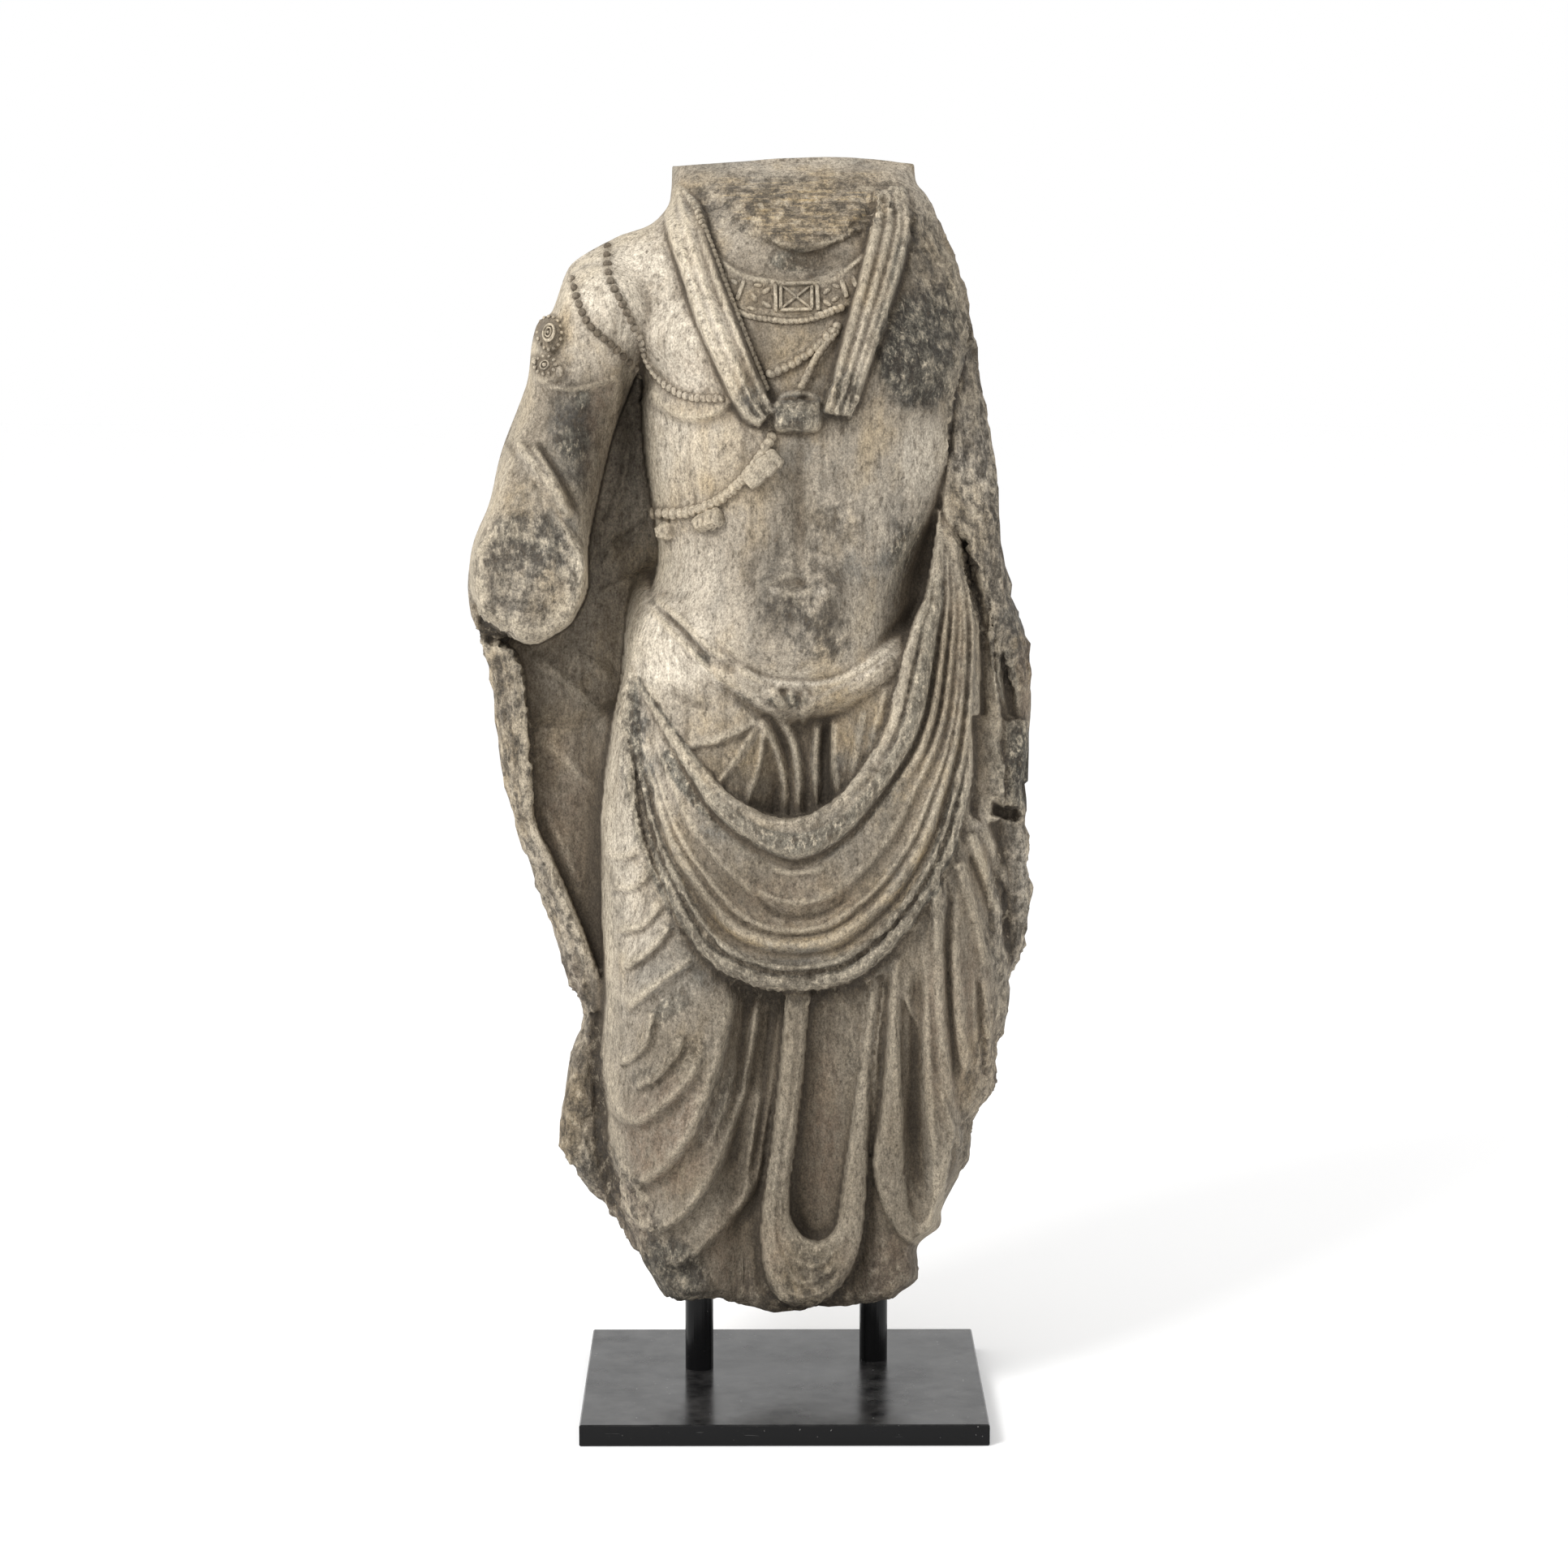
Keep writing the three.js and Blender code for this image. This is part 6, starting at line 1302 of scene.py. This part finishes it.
class Shading:
    # A material, with short ways to add nodes to it
    def __init__(self, name):
        self.material = bpy.data.materials.new(name)
        self.material.use_nodes = True
        self.nodes = self.material.node_tree.nodes
        self.links = self.material.node_tree.links
        self.shader = self.nodes["Principled BSDF"]

    def add(self, kind, **settings):
        node = self.nodes.new(kind)
        for name, value in settings.items():
            setattr(node, name, value)
        return node

    def feed(self, socket, value):
        # A socket is linked, and a number or a colour is set
        if isinstance(value, bpy.types.NodeSocket):
            self.links.new(value, socket)
        else:
            socket.default_value = value

    def fill(self, node, names, values):
        for name, value in zip(names, values):
            self.feed(node.inputs[name], value)
        return node

    def places(self):
        return self.add("ShaderNodeTexCoord").outputs["Object"]

    def noise(self, place, scale, stretch, detail, rough):
        mapping = self.fill(self.add("ShaderNodeMapping"), ("Vector", "Scale"), (place, stretch))
        noise = self.fill(self.add("ShaderNodeTexNoise"), ("Vector", "Scale", "Detail", "Roughness"),
                          (mapping.outputs["Vector"], scale, detail, rough))
        return noise.outputs["Fac"]

    def ranged(self, value, low, high, toLow=0.0, toHigh=1.0):
        node = self.add("ShaderNodeMapRange", clamp=True)
        names = ("Value", "From Min", "From Max", "To Min", "To Max")
        return self.fill(node, names, (value, low, high, toLow, toHigh)).outputs["Result"]

    def calc(self, operation, first, second):
        node = self.add("ShaderNodeMath", operation=operation)
        return self.fill(node, (0, 1), (first, second)).outputs["Value"]

    def blend(self, amount, base, colour, mode="MIX"):
        node = self.add("ShaderNodeMix", data_type="RGBA", blend_type=mode)
        return self.fill(node, ("Factor", "A", "B"), (amount, base, colour)).outputs["Result"]


# pale and edge also give painted highlights; brown and the near-black colour give painted shade in hollows,
# dark gives painted shade in gaps, and shade is multiplied in as painted shade
schistColours = {
    "middle": (0.262, 0.222, 0.169, 1), "pale": (0.53, 0.47, 0.38, 1), "brown": (0.098, 0.075, 0.050, 1),
    "dull": (0.130, 0.108, 0.079, 1), "dark": (0.040, 0.036, 0.031, 1), "blue": (0.082, 0.088, 0.087, 1),
    "ochre": (0.36, 0.26, 0.13, 1), "edge": (0.46, 0.395, 0.295, 1), "nearBlack": (0.013, 0.010, 0.008, 1),
    "slate": (0.120, 0.113, 0.092, 1), "rust": (0.175, 0.118, 0.08, 1), "shade": (0.3, 0.28, 0.25, 1),
}
# Noises over the stone: scale, stretch, detail and roughness
schistNoises = {
    "grit": (780, (1, 1, 0.8), 3, 0.75), "grain": (330, (1, 1, 0.5), 4, 0.72),
    "crumbs": (125, (1, 1, 0.75), 5, 0.72), "streaks": (80, (1, 1, 0.12), 5, 0.65),
    "clouds": (13, (1, 1, 0.7), 5, 0.62), "mottle": (42, (1, 1, 0.8), 6, 0.74),
    "beds": (150, (0.14, 0.4, 2.4), 5, 0.72), "hues": (24, (1, 1, 0.6), 4, 0.6),
}
# Layers of colour from the lowest up: mask, what it follows, where that starts and is full, the
# most of it and the colour
# The hollow layers are painted shade in creases and recesses, the worn layer a painted highlight on sharp
# crests, the light layer painted highlights, and the dark, dull and slate layers partly painted shade
schistLayers = [
    (None, "clouds", 0.38, 0.66, 0.45, "pale"), (None, "hues", 0.52, 0.66, 0.4, "ochre"),
    (None, "hues", 0.46, 0.34, 0.35, "blue"), ("light", "mottle", 0.15, 0.5, 1.0, "pale"),
    ("dull", "clouds", 0.9, 0.3, 1.0, "dull"), ("ochre", "mottle", 0.36, 0.62, 0.8, "ochre"),
    (None, "streaks", 0.48, 0.32, 0.55, "brown"), ("dark", "mottle", 0.58, 0.43, 0.6, "dark"),
    ("dark", "crumbs", 0.56, 0.42, 0.75, "dark"), ("dark", "streaks", 0.50, 0.36, 0.6, "nearBlack"),
    ("blue", "mottle", 0.56, 0.42, 1.0, "blue"), ("rust", "crumbs", 0.64, 0.40, 1.0, "rust"),
    (None, "slateEdge", 0.88, 1.2, 0.85, "slate"), ("slate", "crumbs", 0.54, 0.42, 0.9, "nearBlack"),
    ("slate", "mottle", 0.50, 0.40, 0.6, "nearBlack"), ("slate", "grain", 0.54, 0.66, 0.75, "edge"),
    ("strata", "beds", 0.56, 0.36, 0.95, "brown"), ("strata", "beds", 0.52, 0.66, 0.9, "ochre"),
    (None, "worn", 0.0, 1.0, 1.0, "edge"), (None, "hollow", 0.05, 0.75, 0.9, "brown"),
    (None, "hollow", 0.65, 1.0, 0.6, "nearBlack"), ("dull", "mottle", 0.75, 0.3, 0.45, "dull"),
    ("broken", "crumbs", 0.52, 0.40, 0.75, "dark"), ("broken", "crumbs", 0.54, 0.64, 0.5, "edge"),
    (None, "crumbs", 0.43, 0.30, 0.6, "brown"), (None, "mottle", 0.42, 0.32, 0.35, "brown"),
    (None, "grain", 0.45, 0.30, 0.6, "brown"),
]
schist = {
    # worn is a painted highlight on sharp crests: its range, and how much of it stays where dull
    "slateRagged": 0.9, "worn": (0.08, 0.75, 0.0, 0.65), "highlightWhereDull": (0.0, 1.0, 1.0, 0.5),
    # Light and dark grains over all of it: noise, then its range
    "grains": (("grain", 0.3, 0.7, 0.66, 1.34), ("grit", 0.3, 0.7, 0.55, 1.5)),
    "roughness": 0.85, "reflection": 0.3, "brokenFrom": (0.0, 0.7),
    # Bumps: noise, strength, distance, how high on sound stone and on broken stone
    "bumps": (("mottle", 0.35, 0.006, 0.5, 1.0), ("crumbs", 0.5, 0.0032, 0.4, 1.0),
              ("grain", 0.6, 0.0016, 0.7, 1.0), ("streaks", 0.3, 0.0028, 0.4, 1.0),
              ("grit", 0.6, 0.0009, 0.8, 1.0)),
}


def makeSchist():
    paint = Shading("schist")
    place = paint.places()
    sources = {}
    for name, parts in maskParts.items():
        attribute = paint.add("ShaderNodeAttribute", attribute_name=name)
        split = paint.add("ShaderNodeSeparateColor")
        paint.feed(split.inputs["Color"], attribute.outputs["Color"])
        sources.update(zip(parts, split.outputs))
    for name, settings in schistNoises.items():
        sources[name] = paint.noise(place, *settings)
    ragged = paint.calc("MULTIPLY", sources["mottle"], schist["slateRagged"])
    sources["slateEdge"] = paint.calc("ADD", sources["slate"], ragged)
    # A painted highlight on sharp crests, weaker where dull
    sources["worn"] = paint.calc("MULTIPLY", paint.ranged(sources["sharp"], *schist["worn"]),
                                 paint.ranged(sources["dull"], *schist["highlightWhereDull"]))
    colour = schistColours["middle"]
    for mask, source, low, high, most, name in schistLayers:
        amount = paint.ranged(sources[source], low, high, 0.0, most)
        if mask:
            amount = paint.calc("MULTIPLY", sources[mask], amount)
        colour = paint.blend(amount, colour, schistColours[name])
    colour = paint.blend(sources["shade"], colour, schistColours["shade"], "MULTIPLY")
    for name, *limits in schist["grains"]:
        colour = paint.blend(1.0, colour, paint.ranged(sources[name], *limits), "MULTIPLY")
    normal = None
    for name, strength, distance, sound, rough in schist["bumps"]:
        bump = paint.add("ShaderNodeBump")
        high = paint.ranged(sources["broken"], *schist["brokenFrom"], sound, rough)
        height = paint.calc("MULTIPLY", sources[name], high)
        paint.fill(bump, ("Strength", "Distance", "Height"), (strength, distance, height))
        if normal:
            paint.feed(bump.inputs["Normal"], normal)
        normal = bump.outputs["Normal"]
    paint.fill(paint.shader, ("Base Color", "Roughness", "Specular IOR Level", "Normal"),
               (colour, schist["roughness"], schist["reflection"], normal))
    return paint.material


satin = {
    "lacquer": (0.0022, 0.0022, 0.0025, 1), "dustAndSheen": (0.20, 0.195, 0.185, 1), "reflection": 0.2,
    # Noises: scale, stretch, detail and roughness, then the range and what it gives
    "clouds": ((18, (1, 1, 1), 5, 0.6), (0.3, 0.7, 0.15, 0.30)),
    "specks": ((420, (1, 1, 1), 1, 0.4), (0.76, 0.82, 0.0, 0.8)),
    "scratches": ((60, (1, 14, 14), 2, 0.5), (0.74, 0.80, 0.0, 0.25)),
    "settledDustAndSheen": ((55, (1, 1, 1), 6, 0.7), (0.35, 0.65, 0.0, 0.2)), "upward": (0.6, 0.9),
}


def makeSatinBlack():
    # Black lacquer, a little clouded, with specks of dust, hairline scratches, and dust with a painted
    # sheen on what faces up
    paint = Shading("satinBlack")
    place = paint.places()
    clouds, specks, scratches, settledDustAndSheen = [
        paint.ranged(paint.noise(place, *satin[name][0]), *satin[name][1])
        for name in ("clouds", "specks", "scratches", "settledDustAndSheen")]
    # Dust settles on what faces up, and also lays a painted sheen there
    facing = paint.add("ShaderNodeSeparateXYZ")
    paint.feed(facing.inputs["Vector"], paint.add("ShaderNodeNewGeometry").outputs["Normal"])
    settledDustAndSheen = paint.calc("MULTIPLY", settledDustAndSheen, paint.ranged(facing.outputs["Z"], *satin["upward"]))
    colour = satin["lacquer"]
    for amount in (specks, scratches, settledDustAndSheen):
        colour = paint.blend(amount, colour, satin["dustAndSheen"])
    paint.fill(paint.shader, ("Base Color", "Roughness", "Specular IOR Level"),
               (colour, clouds, satin["reflection"]))
    return paint.material


rock, black = makeSchist(), makeSatinBlack()
stand = [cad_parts[name] for name in ("left_rod", "right_rod", "base_plate")]
for material, pieces in ((rock, (stone, carved)), (black, stand)):
    for piece in pieces:
        piece.data.materials.clear()
        piece.data.materials.append(material)

studio = {
    "floor": 30.0, "floorColour": (1.0, 1.0, 1.0, 1), "floorRoughness": 0.9,
    "sky": 1.0, "skyColour": (1.0, 1.0, 1.0, 1),
    "key": {"place": (-1.5, -1.9, 2.1), "aim": (0, 0, 0.5), "size": 1.0, "power": 60},
    "sensor": 36, "lens": 100,
}


def makeStudio():
    bpy.ops.mesh.primitive_plane_add(size=studio["floor"])
    floor = bpy.context.object
    floor.name = "floor"
    paint = Shading("paleFloor")
    paint.fill(paint.shader, ("Base Color", "Roughness"), (studio["floorColour"], studio["floorRoughness"]))
    floor.data.materials.append(paint.material)
    world = bpy.data.worlds.new("studio")
    bpy.context.scene.world = world
    world.use_nodes = True
    sky = world.node_tree.nodes["Background"]
    sky.inputs["Color"].default_value = studio["skyColour"]
    sky.inputs["Strength"].default_value = studio["sky"]


def addThing(name, data, place):
    thing = bpy.data.objects.new(name, data)
    bpy.context.collection.objects.link(thing)
    thing.location = place
    return thing


def makeKey():
    key = studio["key"]
    light = bpy.data.lights.new("key", "AREA")
    light.size = key["size"]
    light.energy = key["power"]
    thing = addThing("key", light, key["place"])
    towards = Vector(key["aim"]) - Vector(key["place"])
    thing.rotation_euler = towards.to_track_quat("-Z", "Y").to_euler()


def makeCamera():
    camera = bpy.data.cameras.new("camera")
    camera.sensor_width = studio["sensor"]
    camera.lens = studio["lens"]
    thing = addThing("camera", camera, [value * mm for value in drawing["eye"]])
    thing.rotation_euler = (math.radians(90 - drawing["tilt"]), 0, -math.radians(drawing["turn"]))
    bpy.context.scene.camera = thing


makeStudio()
makeKey()
makeCamera()
bpy.context.scene.view_settings.view_transform = "Standard"
print("scene ready")
